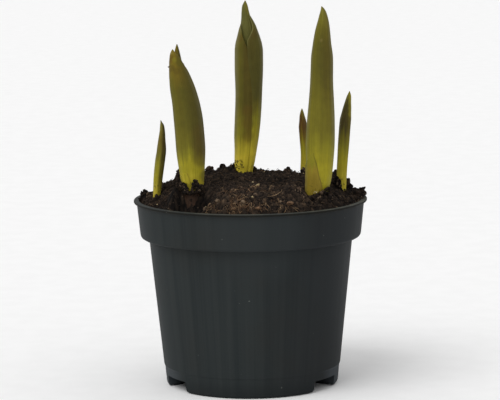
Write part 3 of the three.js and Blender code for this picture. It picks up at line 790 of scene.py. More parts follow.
def make_peat_body(ground):
    """One closed body: a crumbly top, sides against the pot's wall and a floor cut by the channels."""
    unit_x, unit_y = disc_grid(SOIL_GRID)
    x, y = unit_x * SOIL_EDGE_RADIUS, unit_y * SOIL_EDGE_RADIUS
    top = np.stack([x, y, ground.top(x, y)], -1).reshape(-1, 3)
    index = np.arange(SOIL_GRID ** 2).reshape(SOIL_GRID, SOIL_GRID)
    quads = np.stack([index[:-1, :-1], index[:-1, 1:], index[1:, 1:], index[1:, :-1]], -1).reshape(-1, 4)
    rim = np.concatenate([index[0, :-1], index[:-1, -1], index[-1, :0:-1], index[:0:-1, 0]])
    directions = np.stack([unit_x, unit_y], -1).reshape(-1, 2)[rim]

    wall = pot_hollow(GAP, POT_HEIGHT)[1:-2][::-1]
    wall = wall[wall[:, 1] < PEAT_SIDE_TOP]
    rings = [np.column_stack([directions * radius, np.full(len(rim), height)]) for radius, height in wall]
    points = np.concatenate([top, *rings, [[0, 0, wall[-1][1]]]])
    loops = [rim] + [len(top) + i * len(rim) + np.arange(len(rim)) for i in range(len(rings))]
    sides = []
    for upper, lower in zip(loops, loops[1:]):
        sides.append(np.stack([lower, np.roll(lower, -1), np.roll(upper, -1), upper], -1))
    floor = np.stack([np.full(len(rim), len(points) - 1), np.roll(loops[-1], -1), loops[-1]], -1)
    mesh = make_mesh("peat", points, np.concatenate([quads, *sides]), floor)
    # Painted shade for the peat's material: a value that falls in the raster's hollows, darkening them
    hollow_shade = np.zeros(len(points))
    hollow_shade[:len(top)] = 0.42 + 0.55 * ground.at(x, y, ground.hollows).ravel()
    add_attribute(mesh, "hollow_shade", hollow_shade)
    body = new_object("peat", mesh)
    mesh = cut(body, underside(WALL + GAP))
    bpy.data.objects.remove(body)
    add_piece("peat_body", mesh, peat_look(), "potting_soil", "soil")


def icosphere(detail):
    """The points and faces of a unit ball."""
    ball = bmesh.new()
    bmesh.ops.create_icosphere(ball, subdivisions=detail, radius=1)
    points = np.array([v.co for v in ball.verts])
    faces = np.array([[v.index for v in face.verts] for face in ball.faces])
    ball.free()
    return points, faces


def turns(random, count):
    """Random rotation matrices."""
    spins = random.normal(size=(count, 4))
    w, x, y, z = (spins / np.linalg.norm(spins, axis=1)[:, None]).T
    rows = [
        [1 - 2 * (y * y + z * z), 2 * (x * y - w * z), 2 * (x * z + w * y)],
        [2 * (x * y + w * z), 1 - 2 * (x * x + z * z), 2 * (y * z - w * x)],
        [2 * (x * z - w * y), 2 * (y * z + w * x), 1 - 2 * (x * x + y * y)],
    ]
    return np.array(rows).transpose(2, 0, 1)


def lumps(name, random, places, sizes, detail, flat=1.0, lying=False):
    """Many rough lumps in one mesh, each with its own shape and turn; lying ones are long and stay level."""
    ball, faces = icosphere(detail)
    count = len(places)
    waves = random.normal(size=(count, 4, 3)) * 1.6
    phases = random.random((count, 1, 4)) * 2 * math.pi
    swell = np.sin(np.einsum("vk,njk->nvj", ball, waves) + phases).sum(2)
    factor = 1 + 0.14 * swell + 0.1 * random.normal(size=(count, len(ball)))
    stretch = 0.65 + 0.55 * random.random((count, 1, 3))
    stretch[:, :, 2] *= flat
    shaped = ball[None] * np.maximum(factor, 0.35)[:, :, None] * stretch
    turned_by = turns(random, count)
    if lying:
        shaped[:, :, 1] *= 0.6
        turned_by = np.array([Matrix.Rotation(0.9 * random.normal(), 3, "Z") for _ in range(count)])
    shaped = np.einsum("nij,nvj->nvi", turned_by, shaped)
    points = shaped * np.asarray(sizes)[:, None, None] + np.asarray(places)[:, None, :]
    all_faces = faces[None] + (np.arange(count) * len(ball))[:, None, None]
    return make_mesh(name, points.reshape(-1, 3), all_faces.reshape(-1, 3), smooth=False)


def add_lumps(name, look, random, places, sizes, detail, **form):
    """Shows many rough lumps as one piece of the peat."""
    add_piece(name, lumps(name, random, places, sizes, detail, **form), look, "potting_soil")


# Loose piles as x, y, how far they spread, how high they stand over the mound and how many lumps
PILES = [
    (62.5, 0.5, 2, 0.2, 18), (58, 3, 2.4, 0, 8), (53.8, -9.5, 1.4, 0.3, 12), (55.6, -9.6, 0.8, 1, 4),
    (47.5, 3, 2.6, 0.6, 12), (-59.8, 2.6, 2, 0, 12), (-55, -8, 4, 0.4, 10), (-39.2, -5, 1.2, 0.3, 10),
    (-24, 32, 2, 0.4, 8), (-15.4, 33, 1.6, 0.6, 8), (-8.8, 29, 2, 0.2, 8), (21.5, 33, 2, 0.2, 10),
    (30.8, 33.5, 1.2, 1.6, 12), (2.5, 35, 1.6, 0.3, 6), (-51.5, -19.4, 1.8, 2.4, 22),
    (-53.8, -18.6, 0.8, 1, 6), (40, -38, 2.4, 1.4, 16), (43, -36, 2, 2, 14), (60.8, -6, 1.8, 3, 18),
    (59.4, -13, 1.8, 2.4, 16), (62.3, -1.5, 0.9, 4.4, 18),
]

# Crumbs banked against the shoots' feet: the line of their tops as (x, height), the height they start at,
# the leaf behind them as (x, y, half width, half depth), and how many lumps
BANKS = [
    ([(-40, 120.5), (-38, 119), (-36.4, 118), (-34.8, 117.4), (-34.1, 115.6), (-33.6, 112.8), (-33, 112)],
     112, (-30.9, -31, 6.6, 4.7), 130),
    ([(-32.8, 112.6), (-32, 114.6), (-31.4, 117), (-30.4, 120.2), (-29.6, 120), (-28, 117.8), (-26.4, 116.8),
      (-25.2, 115), (-24.2, 112)], 111.6, (-30.9, -31, 6.6, 4.7), 190),
    ([(32.5, 109), (34.6, 111), (37.8, 112.2), (40.6, 114), (43.8, 115), (44.6, 113)],
     107, (37, -31, 6.9, 5), 150),
    ([(46, 116), (47.6, 117.4), (49.4, 117), (49.8, 114.5), (50.2, 111), (51.6, 108.6)],
     107.5, (50.3, -12, 2.7, 1.7), 130),
]


def bank(random, tops, low, leaf, count):
    """Places of crumbs lying hard against a leaf's foot, the lowest ones further out."""
    line = np.array(tops, float)
    x = line[0, 0] + (line[-1, 0] - line[0, 0]) * random.random(count)
    top = np.interp(x, *line.T) - 0.6
    share = np.sqrt(random.random(count))
    z = low + (top - low) * share
    middle, back, half, deep = leaf
    front = back - deep * np.sqrt(np.maximum(1 - ((x - middle) / half) ** 2, 0))
    y = front - 0.7 - (1.6 * (1 - share) + 0.5) * random.random(count)
    return np.stack([x, y, z], 1)[top > low]


def scatter(random, count, ground, sink=0):
    """Random places on the peat's surface, or a little under it."""
    distance = (SOIL_EDGE_RADIUS - 0.8) * np.sqrt(random.random(count))
    angle = 2 * math.pi * random.random(count)
    x, y = distance * np.cos(angle), distance * np.sin(angle)
    return np.stack([x, y, ground.top(x, y) - sink], 1)


def make_crumbs(random, ground):
    look = crumb_look()
    sizes = between(random, CRUMB_RADII, CRUMB_COUNT, 2)
    places = scatter(random, CRUMB_COUNT, ground)
    add_lumps("peat_crumbs", look, random, places, sizes, 1)

    sizes = between(random, LUMP_RADII, LUMP_COUNT, 3)
    places = scatter(random, LUMP_COUNT, ground, 0.3)
    for middle_x, middle_y, spread, high, count in PILES:
        offset = random.normal(size=(count, 2)) * spread * 0.5
        x, y = middle_x + offset[:, 0], middle_y + offset[:, 1]
        reach = np.maximum(np.hypot(x, y) / (LIP_RADIUS - 0.8), 1)
        x, y = x / reach, y / reach
        lift = high * random.random(count) * np.exp(-(offset ** 2).sum(1) / (2 * (spread * 0.6) ** 2))
        pile = np.stack([x, y, ground.mound(x, y) - 0.5 + lift], 1)
        places = np.concatenate([places, pile])
        sizes = np.concatenate([sizes, between(random, PILE_RADII, count)])
    for row in BANKS:
        banked = bank(random, *row)
        places = np.concatenate([places, banked])
        sizes = np.concatenate([sizes, between(random, BANK_RADII, len(banked), 2)])
    add_lumps("peat_lumps", look, random, places, sizes, 2)


def thread(path, radius):
    """A thin three-sided tube along a path, with pointed ends."""
    ahead = np.gradient(path, axis=0)
    ahead /= np.linalg.norm(ahead, axis=1)[:, None]
    side = np.cross(ahead, (0.1, 0.2, 1))
    side /= np.linalg.norm(side, axis=1)[:, None]
    up = np.cross(side, ahead)
    width = radius * np.sin(np.linspace(0.15, math.pi - 0.15, len(path)))[:, None, None]
    corners = np.radians([90, 210, 330])[None, :, None]
    return path[:, None] + width * (np.cos(corners) * side[:, None] + np.sin(corners) * up[:, None])


def fibre_mesh(name, paths, radii):
    """Thin tubes along paths of one length, in one mesh."""
    count, steps = len(paths), len(paths[0])
    threads = [thread(path, radius) for path, radius in zip(paths, radii)]
    faces = np.array([[i * 3 + k, i * 3 + (k + 1) % 3, (i + 1) * 3 + (k + 1) % 3, (i + 1) * 3 + k]
                      for i in range(steps - 1) for k in range(3)])
    ends = np.array([[2, 1, 0], [3 * steps - 3, 3 * steps - 2, 3 * steps - 1]])
    offsets = (np.arange(count) * 3 * steps)[:, None, None]
    quads, caps = (faces[None] + offsets).reshape(-1, 4), (ends[None] + offsets).reshape(-1, 3)
    return make_mesh(name, np.array(threads).reshape(-1, 3), quads, caps)


def curled_paths(random, starts, lengths, curl, lift, ground):
    """Fibres that lie on the peat from their starts, each bent its own way."""
    paths = []
    share = np.linspace(0, 1, FIBRE_STEPS)
    for start, length in zip(starts, lengths):
        headings = 2 * math.pi * random.random() + random.normal() * curl * share
        headings += 0.3 * random.normal(size=FIBRE_STEPS)
        x = start[0] + np.cumsum(np.cos(headings)) * length / FIBRE_STEPS
        y = start[1] + np.cumsum(np.sin(headings)) * length / FIBRE_STEPS
        reach = np.maximum(np.hypot(x, y) / (SOIL_EDGE_RADIUS - 0.5), 1)
        x, y = x / reach, y / reach
        arch = lift * random.random() ** 2 * (np.sin(math.pi * share) + share ** 2 * random.random())
        paths.append(np.stack([x, y, ground.top(x, y) + 0.12 + arch], 1))
    return paths


# Tufts of light fibres as x, y, spread and count
TUFTS = [
    (-6.5, -55.5, 3.4, 110), (-7, -51, 2.6, 34), (4, -56.5, 2.6, 26), (-21, -52, 3, 30),
    (18, -52, 4, 20), (-4, -40, 10, 60), (-50, -24, 4, 12),
]

# Single light fibres in front, each as three points (x, y, height over the mound)
STRAYS = [
    ((10.3, -43.5, 0.3), (11.2, -35, 1.4), (13.4, -26, 1)),
    ((8.6, -50.5, 0.2), (14.4, -47.2, 0.8), (17.4, -38.8, 0.9)),
    ((26.5, -30.5, 0.6), (27.4, -36, 0.9), (27.2, -42, 0.3)),
    ((-8, -14, 0.4), (-2, -12.5, 1), (5, -14, 0.3)),
    ((-18, -46, 0.3), (-15.4, -43, 0.8), (-11.5, -42.5, 0.4)),
    ((1, 4, 0.4), (4.4, 6, 0.8), (8.6, 9, 0.5)),
]


def make_fibres(random, ground):
    """Dry roots and sedge fibres: a fine mat all over, a lighter tuft in front and a few strays."""
    look = fibre_look("peat_fibre", srgb(22, 17, 15), srgb(54, 42, 33), srgb(96, 78, 58))
    starts = scatter(random, FIBRE_COUNT, ground)
    lengths = between(random, FIBRE_LENGTHS, FIBRE_COUNT, 2)
    paths = curled_paths(random, starts, lengths, 1.8, 1.2, ground)
    radii = between(random, FIBRE_RADII, FIBRE_COUNT, 2)
    add_piece("peat_fibres", fibre_mesh("peat_fibres", paths, radii), look, "potting_soil")

    look = fibre_look("dry_fibre", srgb(54, 40, 30), srgb(98, 73, 52), srgb(156, 130, 98))
    starts = []
    for x, y, spread, count in TUFTS:
        angle, reach = 2 * math.pi * random.random(count), spread * np.sqrt(random.random(count))
        starts += [*zip(x + 1.7 * reach * np.cos(angle), y + 0.7 * reach * np.sin(angle))]
    lengths = between(random, DRY_FIBRE_LENGTHS, len(starts), 2)
    paths = curled_paths(random, starts, lengths, 2.4, 1.1, ground)
    share = np.linspace(0, 1, FIBRE_STEPS)[:, None]
    for first, second, third in np.array(STRAYS, float):
        bend = 2 * second - (first + third) / 2
        path = (1 - share) ** 2 * first + 2 * share * (1 - share) * bend + share ** 2 * third
        path[:, 2] += ground.mound(path[:, 0], path[:, 1]) - 0.2
        paths.append(path)
    radii = np.append(between(random, DRY_FIBRE_RADII, len(starts), 2), np.full(len(STRAYS), STRAY_RADIUS))
    add_piece("dry_fibres", fibre_mesh("dry_fibres", paths, radii), look, "potting_soil")


# Light grains and bark chips as x, y and radius
GRAINS = [
    (4.2, -23, 1.0), (1.6, -11, 0.42), (1.1, -50.5, 0.85), (-24, -46, 0.4), (-33, 12, 0.5),
    (30, 14, 0.4), (8, 26, 0.3), (-8, 44, 0.6), (41, 25, 0.5), (-51, -27, 0.35),
]
CHIPS = [
    (4.4, -26.5, 0.8), (21.3, -51, 2.1), (4.4, -57, 1.5), (-9, -56.5, 1.3), (34, 19, 1.6),
    (-40, 22, 1.8), (6, 40, 1.4),
]


def add_bits(name, look, random, spots, ground, lift, **form):
    """Shows bits that lie on the peat where spots say, as (x, y, radius)."""
    x, y, sizes = np.array(spots, float).T
    places = np.stack([x, y, ground.top(x, y) + lift], 1)
    add_lumps(name, look, random, places, sizes, 3, **form)


def make_grains(random, ground):
    grain = plain_grain_look("light_grain", srgb(136, 110, 66), srgb(204, 186, 144), 0.6)
    add_bits("light_grains", grain, random, GRAINS, ground, 0.5)
    bark = plain_grain_look("bark_chip", srgb(66, 47, 33), srgb(132, 100, 70))
    add_bits("bark_chips", bark, random, CHIPS, ground, 0.2, flat=0.45, lying=True)


# Shoots

# Rows are height, centre x, centre y and width seen from the front. Depth rows are height and
# thickness over width. Turn is the blade's twist from above, in degrees.
SHOOTS = {
    "left": {
        "turn": 14,
        "rows": [
            (98, -30.2, -31, 8.8), (108, -30.4, -31, 9.2), (113, -30.6, -31, 9.8), (118.5, -31.2, -31, 12),
            (125, -31.7, -31, 14), (138, -32.2, -31, 15.9), (151, -33.1, -31, 15.8), (160, -34.2, -31, 15),
            (168, -35.8, -31, 13.9), (174.4, -37.2, -31, 11.9), (180.9, -38.7, -31, 8.9),
            (184.2, -39.3, -31, 7.4), (187.4, -39.5, -31, 6.2), (189.4, -39.65, -31, 4.7),
            (190.5, -39.65, -31, 4),
        ],
        "depth": [(98, 0.85), (120, 0.66), (150, 0.56), (175, 0.52), (184, 0.6), (190, 0.6)],
    },
    "left_inner": {
        "turn": 14,
        "rows": [
            (98, -30.2, -31, 5.6), (113, -30.6, -31, 6.6), (125, -31.7, -31, 9.6), (151, -33.1, -31, 11.6),
            (168, -35.8, -31, 9.8), (174.4, -37.4, -31, 8), (180.9, -38.5, -30.4, 5.6),
            (184.2, -38.6, -30.1, 4.4), (187.4, -38.7, -30, 3.2), (190.5, -38.8, -30, 1.9),
        ],
        "depth": [(98, 0.8), (120, 0.55), (175, 0.42), (184, 0.5), (190, 0.6)],
    },
    "middle": {
        "turn": -6,
        "rows": [
            (98, -4.8, 29, 9.6), (110, -4.1, 29, 10), (116.1, -3.6, 29, 10.5), (120.1, -3.1, 29, 11.5),
            (128.1, -2.3, 29, 12.8), (136.1, -1.7, 29, 14.2), (144, -1.05, 29, 14.8), (160, -0.2, 29, 15.2),
            (175.9, 0.03, 29, 16.2), (183.8, 0.1, 29, 16.1), (187.7, 0.05, 29, 15.2), (191.7, 0, 29, 13.1),
            (195.7, -0.2, 29, 10.7), (199, -0.5, 29, 8.9), (202.4, -0.75, 29, 6.2), (205.8, -1.4, 29, 4.2),
        ],
        "depth": [(98, 0.9), (120, 0.74), (150, 0.61), (180, 0.59), (192, 0.68), (205, 0.75)],
    },
    "middle_spear": {
        "turn": -6,
        "rows": [
            (98, -4.9, 29, 4.6), (116, -3.8, 29, 5.4), (136, -1.7, 29, 8.8), (160, -0.3, 29, 10.4),
            (183.8, 0.05, 29, 11), (189, 0.05, 29, 9.2), (194.3, -0.4, 29.1, 8), (199, -0.85, 29.4, 6.9),
            (202.4, -1.2, 29.6, 5.5), (205.8, -1.65, 29.6, 4.3), (209.2, -1.8, 29.6, 3.2),
        ],
        "depth": [(98, 0.75), (130, 0.46), (190, 0.42), (206, 0.5)],
    },
    "right": {
        "turn": 8,
        "rows": [
            (98, 34.6, -31, 9), (107, 35.2, -31, 10), (113.5, 36.7, -31, 12.6), (118, 37.4, -31, 13.6),
            (126, 38, -31, 14.6), (138.6, 38.4, -31, 15.8), (150, 38.8, -31, 15.2), (161.5, 39.2, -31, 13.7),
            (172, 39.4, -31, 12.5), (184.4, 39.7, -31, 12), (191.9, 39.75, -31, 10.1), (199.5, 40.1, -31, 8),
            (206, 40.5, -31, 5.2), (209.2, 40.5, -31, 3.4), (211.4, 40.1, -31, 1.6),
        ],
        "depth": [(98, 0.9), (118, 0.6), (150, 0.46), (185, 0.38), (211, 0.5)],
    },
    "far_left": {
        "turn": -28,
        "rows": [
            (98, -52.4, -15, 3.8), (108.5, -51.6, -16, 4.1), (113, -51.2, -16, 4.6), (119.6, -50.5, -16, 5.2),
            (128, -49.4, -16, 5.5), (133.5, -48.6, -16, 5.2), (139, -48.3, -16, 4.1),
            (144.5, -47.95, -16, 2.9), (147.3, -48.05, -16, 2.2), (149, -48.5, -16, 0.9),
        ],
        "depth": [(98, 0.95), (115, 0.8), (135, 0.7), (149, 0.8)],
    },
    "back_right": {
        "turn": 20,
        "rows": [
            (98, 30.6, 37, 4.2), (112, 30.9, 38, 4.4), (124, 31.4, 38, 4.6), (133, 31, 38, 5),
            (138.7, 30.6, 38, 5), (142.7, 30.4, 38, 4), (146.7, 30, 38, 2.5), (149, 30, 38, 1.1),
        ],
        "depth": [(98, 0.95), (115, 0.75), (135, 0.6), (149, 0.8)],
    },
    "far_right": {
        "turn": -12,
        "rows": [
            (98, 49.6, -11, 4.6), (110, 50.4, -12, 5), (120, 50.7, -12, 5.6), (127, 51.15, -12, 5.8),
            (138, 51.95, -12, 6.2), (148.5, 52.85, -12, 6.2), (151.8, 53.3, -12, 5.4),
            (155.1, 53.8, -12, 4.6), (158.4, 54.3, -12, 3.5), (161.7, 54.9, -12, 2.4), (163.6, 55.15, -12, 1),
        ],
        "depth": [(98, 0.9), (115, 0.6), (140, 0.5), (163, 0.7)],
    },
}


def surface(shoot, z, degrees, inset=0):
    """Points of the shoot's surface, drawn in by inset. Angle 0 is right and -90 the front."""
    turn = math.radians(shoot["turn"])
    ratio = follow(shoot["depth"], z)
    seen = np.hypot(math.cos(turn), ratio * math.sin(turn))
    half = follow(shoot["rows"], z, 3) / 2 / seen
    across = np.maximum(half - inset, 0.08)
    deep = np.maximum(half * ratio - inset, 0.06)
    angle = np.radians(degrees) - turn
    u, v = across * np.cos(angle), deep * np.sin(angle)
    x = follow(shoot["rows"], z, 1) + u * math.cos(turn) - v * math.sin(turn)
    y = follow(shoot["rows"], z, 2) + u * math.sin(turn) + v * math.cos(turn)
    return np.stack([x, y, z + 0 * u], -1)


def flutes(degrees, phase):
    """The leaf's shallow lengthwise ribs, as a height over its surface."""
    angle = np.radians(degrees)
    return 0.07 * np.cos(9 * angle + phase) + 0.05 * np.cos(17 * angle + 2.3 * phase)


def grain_of(degrees, z):
    """Where a point lies in the leaf's grain: across, along, and from its left edge (-1) to its right (1)."""
    angle = np.radians(degrees)
    return np.stack([angle * GRAIN_RADIUS, z + 0 * angle, np.cos(angle)], -1)


def leaf_mesh(rings, grain, margin):
    levels, around = rings.shape[:2]
    mesh = make_mesh("leaf", rings.reshape(-1, 3), loft_faces(levels, around))
    add_attribute(mesh, "grain", grain.reshape(-1, 3))
    add_attribute(mesh, "margin", margin.ravel())
    return mesh


def blade_leaf(outline, tip, phase, keel=0.0):
    """A thick sword blade that ends in a point; keel raises a ridge along its front and back."""
    rows = [row for row in outline["rows"] if row[0] < tip[2]] + [(tip[2], tip[0], tip[1], 0.4)]
    shoot = {**outline, "rows": rows}
    count = int((tip[2] - LEAF_BOTTOM_Z) / LEVEL_STEP) + 2
    z = np.linspace(LEAF_BOTTOM_Z, tip[2], count)[:, None]
    degrees = np.arange(BLADE_SIDES)[None, :] * 360 / BLADE_SIDES + 0 * z
    fade = smooth_step(follow(rows, z, 3), 1.5, 7)
    ridge = keel * np.abs(np.sin(np.radians(degrees))) ** 6 + fade * flutes(degrees, phase)
    rings = surface(shoot, z, degrees, -ridge)
    return leaf_mesh(rings, grain_of(degrees, z), np.zeros(degrees.shape))


def wrapped_leaf(shoot, margins, phase, inset=0, lap=NO_LAP, thickness=LEAF_THICKNESS):
    """A leaf wrapped about what it encloses, its two margins thin and lying close to the leaf inside.

    It is drawn in by inset all round, and by lap more, given as rows of height and depth, towards its right
    side, where another leaf covers it."""
    top = margins[-1][0] - 0.15
    count = int((top - LEAF_BOTTOM_Z) / LEVEL_STEP) + 2
    z = np.linspace(LEAF_BOTTOM_Z, top, count)[:, None]
    start, end = follow(margins, z, 1), follow(margins, z, 2)
    share = np.linspace(0, 1, WRAP_COLUMNS)[None, :]
    share = share - 0.11 * np.sin(2 * math.pi * share)
    degrees = start + (end - start) * share
    arc = np.radians(end - start) * follow(shoot["rows"], z, 3) * 0.4
    edge = 1 - smooth_step(np.minimum(share, 1 - share) * arc, 0.1, 1.5)
    fade = smooth_step(follow(shoot["rows"], z, 3), 1.5, 7)
    lift = fade * flutes(degrees, phase) - 0.4 * edge
    thick = thickness * (1 - 0.62 * edge)
    depth = inset - lift + follow(lap, z) * (0.5 + 0.5 * np.cos(np.radians(degrees)))
    outer = surface(shoot, z, degrees, depth)
    inner = surface(shoot, z, degrees, depth + thick)
    grain = grain_of(degrees, z)
    there_and_back = [np.concatenate([out, back[:, ::-1]], 1) for out, back in
                      ((outer, inner), (grain, grain), (edge, edge))]
    return leaf_mesh(*there_and_back)


def add_leaf(node, mesh, slot="leaf_green", **look):
    """Shows a leaf or sheath in place of the plain one named, with a look as leaf_look describes it."""
    mesh.name = node.replace("_shoot", "")
    add_piece(f"{node}_fine", mesh, leaf_look(mesh.name, **look), slot, node)


def make_left_shoot():
    shoot = SHOOTS["left"]
    margins = [
        (98, -285, 60), (165, -285, 55), (178, -250, 20), (183.4, -225, -15),
        (187, -205, -61), (189.4, -190, -110), (190.3, -160, -160),
    ]
    stops = [
        (98, "gold"), (118, "gold"), (124, "straw"), (128, "straw"), (132, "lime"), (137, "moss"),
        (143, "green"), (151, "olive"), (168, "olive"), (176, "bronze"), (184, "orange"), (191, "orange"),
    ]
    spots = [
        ((-43.2, -33, 185), 3.4, "rust", 0.7), ((-37.4, -33, 183.5), 3.6, "olive", 0.6),
        ((-40.3, -34, 184.6), 2.2, "lime", 0.55), ((-41.6, -34, 188.6), 2, "dried", 0.25),
        ((-41.3, -34, 186.9), 0.9, "rust", 0.8), ((-42, -33, 180), 2.8, "umber", 0.5),
        ((-39, -35, 178.6), 3, "umber", 0.45), ((-28.8, -38, 113.6), 4.6, "peat", 1),
        ((-25.5, -37, 112), 4, "peat", 1), ((-36.5, -38, 113), 4.6, "peat", 1),
        ((-37.5, -33, 118), 6, "glow", 0.5), ((-24.4, -32, 121), 4.5, "olive", 0.6),
    ]
    spots += [((-26, -34, z), 7, "umber", 0.6) for z in (131, 138, 145)]
    # The left tint and the glow spot at the foot are painted light; the right tint and the umber spots down
    # the right side are partly painted shade, partly the leaf's own brown
    add_leaf("left_shoot_outer_leaf", wrapped_leaf(shoot, margins, 0.4), stops=stops, umber=0.3,
             left=("lime", 0.15, 130, -0.2), right=("dark", 0.7, 125, -0.1), spots=spots, bloom=0.2)

    stops = [
        (98, "straw"), (130, "lime"), (150, "moss"), (176, "olive"), (184, "rust"), (188, "orange"),
        (193, "moss"),
    ]
    mesh = blade_leaf(SHOOTS["left_inner"], (-38.8, -30, 192.8), 1.9)
    add_leaf("left_shoot_inner_leaf", mesh, stops=stops, umber=0.4, right=("shadow", 0.8, 172, 0.15))

    margins = [(98, -290, -60), (114, -280, -100), (119, -235, -98), (123.3, -108, -108)]
    stops = [(98, "gold"), (118, "gold"), (124, "straw")]
    spots = [((-28.8, -39, 113.4), 4.4, "peat", 1), ((-36.5, -39, 113), 4.4, "peat", 1)]
    mesh = wrapped_leaf(shoot, margins, 2.6, -0.5, thickness=0.85 * SHEATH_THICKNESS)
    add_leaf("left_shoot_base_sheath", mesh, "sheath_yellow", stops=stops, umber=0.2, spots=spots,
             margin=("orange", 0.5, 98, 99, 1, ALL_ACROSS))


def make_middle_shoot():
    shoot = SHOOTS["middle"]
    margins = [
        (98, -262, -55), (160, -262, -62), (180, -240, -86), (188.7, -215, -110),
        (191.5, -205, -124), (194.3, -200, -137), (199.3, -170, -170),
    ]
    stops = [
        (98, "glow"), (123, "glow"), (130, "gold"), (137, "lime"), (148, "moss"), (154, "olive"),
        (200, "olive"),
    ]
    spots = [((-5.6, 25, 192), 4, "rust", 0.45)]
    spots += [((-0.5, 24, z), 5, "rust", 0.4) for z in (136, 143, 150)]
    # The left tint is painted light and the right tint the painted shadow of the right leaf lapping over this
    # one; the glow at the foot is painted light
    add_leaf("middle_shoot_left_leaf", wrapped_leaf(shoot, margins, 0.9, 0, LAP), stops=stops, umber=0.4,
             left=("lime", 0.25, 134, 0.35), right=("umber", 0.5, 126, -0.75), spots=spots,
             margin=("pale", 0.5, 194, 199, 0, ALL_ACROSS))

    margins = [
        (98, -60, 112), (134, -69, 112), (161, -78, 108), (176.3, -93, 92), (183, -98, 84), (189.3, -99, 70),
        (193.8, -78, 45), (198.2, -52, 20), (201.5, -52, 0), (203.2, -52, -14), (204.8, -40, -40),
    ]
    stops = [
        (98, "glow"), (126, "glow"), (131, "gold"), (138, "straw"), (144.5, "lime"), (152, "green"),
        (159, "slate"), (204, "slate"),
    ]
    spots = [((3.4, 25, 194), 4, "umber", 0.6)]
    spots += [((0, 22, z), 5, "umber", 0.6) for z in (136, 143, 150, 157)]
    # The glow at its foot is painted light
    add_leaf("middle_shoot_right_leaf", wrapped_leaf(shoot, margins, 3.1), stops=stops, umber=0.35,
             left=("sage", 0.4, 156, 0), spots=spots, margin=("pale", 0.85, 184, 194, 0.1, ALL_ACROSS))

    stops = [(98, "straw"), (150, "moss"), (188, "sage"), (206, "sage"), (213, "tip")]
    mesh = blade_leaf(SHOOTS["middle_spear"], (-1.65, 29.6, 212.3), 2.2)
    add_leaf("middle_shoot_spear_leaf", mesh, stops=stops, umber=0.15)


def make_right_shoot():
    shoot = SHOOTS["right"]
    stops = [
        (98, "straw"), (124, "straw"), (135, "lime"), (145, "moss"), (156, "moss"), (166, "green"),
        (176, "olive"), (190, "olive"), (198, "green"), (203, "moss"), (209, "tip"),
    ]
    spots = [((39.9, -34, 196.6), 2, "olive", 0.6), ((39.4, -34, 194.2), 1.6, "dried", 0.25)]
    # Painted light on the left and painted shade on the right
    add_leaf("right_shoot_sword_leaf", blade_leaf(shoot, (39.6, -31, 212.4), 1.3), stops=stops, umber=0.3,
             left=("lime", 0.2, 130, 0), right=("umber", 0.12, 140, 0), spots=spots)

    margins = [
        (98, -285, -50), (108, -280, -57), (114, -262, -66), (121, -225, -88),
        (127, -180, -100), (133.3, -116, -116),
    ]
    stops = [(98, "gold"), (105, "straw"), (110, "amber"), (124, "amber"), (128, "lime"), (134, "lime")]
    spots = [((33.5, -38, 117), 6.5, "orange", 0.6), ((33.8, -38, 131), 2.8, "glow", 0.7)]
    spots += [((x, -39, z), 1.8, "glow", 0.5) for x, z in ((34.3, 127.5), (34.9, 124.5), (35.6, 121.5))]
    mesh = wrapped_leaf(shoot, margins, 2.8, -0.6, thickness=SHEATH_THICKNESS)
    # The sheath's dark margin is a painted shadow line along its edge, and the glow spots are painted light
    # on its tip and the strip beside it
    add_leaf("right_shoot_base_sheath", mesh, "sheath_yellow", stops=stops, umber=0.2, spots=spots,
             margin=("umber", 0.4, 98, 99, 1, -0.6))


# The three shoots of one folded leaf each: its tip, the phase of its ribs and its look. The right tint is
# painted shade, on the far right shoot a painted highlight, and the glow at each foot is painted light
SMALL_SHOOTS = {
    "far_left": ((-48.7, -16, 149.9), 8, {
        "umber": 0.3, "right": ("shadow", 0.7, 105, -0.5),
        "stops": [
            (98, "glow"), (113, "gold"), (118, "straw"), (126, "lime"), (131, "moss"), (138, "bronze"),
            (146, "tip"),
        ],
    }),
    "back_right": ((30, 38, 149.8), 10, {
        "umber": 0.4, "right": ("umber", 0.3, 124, -0.2),
        "stops": [
            (98, "glow"), (121, "gold"), (127, "straw"), (133, "orange"), (139, "rust"), (144, "rust"),
            (149, "lime"),
        ],
    }),
    "far_right": ((55.2, -12, 164.4), 9, {
        "umber": 0.3, "right": ("straw", 0.2, 100, 0),
        "stops": [
            (98, "glow"), (116, "gold"), (126, "straw"), (132, "lime"), (137, "moss"), (144, "plum"),
            (156, "dark"), (164, "tip"),
        ],
        "spots": [((56.4, -13, z), 2.8, "straw", 0.45) for z in (152, 155, 158, 161, 164)],
    }),
}


def make_small_shoots():
    for name, (tip, phase, look) in SMALL_SHOOTS.items():
        add_leaf(f"{name}_shoot_leaf", blade_leaf(SHOOTS[name], tip, phase, 0.35), **look)


# Corms

# Each corm's middle, radius and half height, and its skin's neck about the shoot: middle, radius and top
CORMS = {
    "left": ((-28, -27.5), 13.5, 9.5, (-30.6, -31), 7.9, 113),
    "middle": ((-4.8, 28), 15, 10, (-4.5, 29), 7, 106),
    "right": ((31.5, -27), 13.5, 9.5, (35, -31), 8.2, 103),
    "far_left": ((-51, -14.6), 7.4, 6, (-52.2, -15.2), 3.9, 103),
    "back_right": ((29.4, 35.6), 9, 7, (30.5, 37.3), 4.1, 104),
    "far_right": ((48.2, -10.4), 8, 6.5, (49.9, -11.2), 4.2, 103),
}


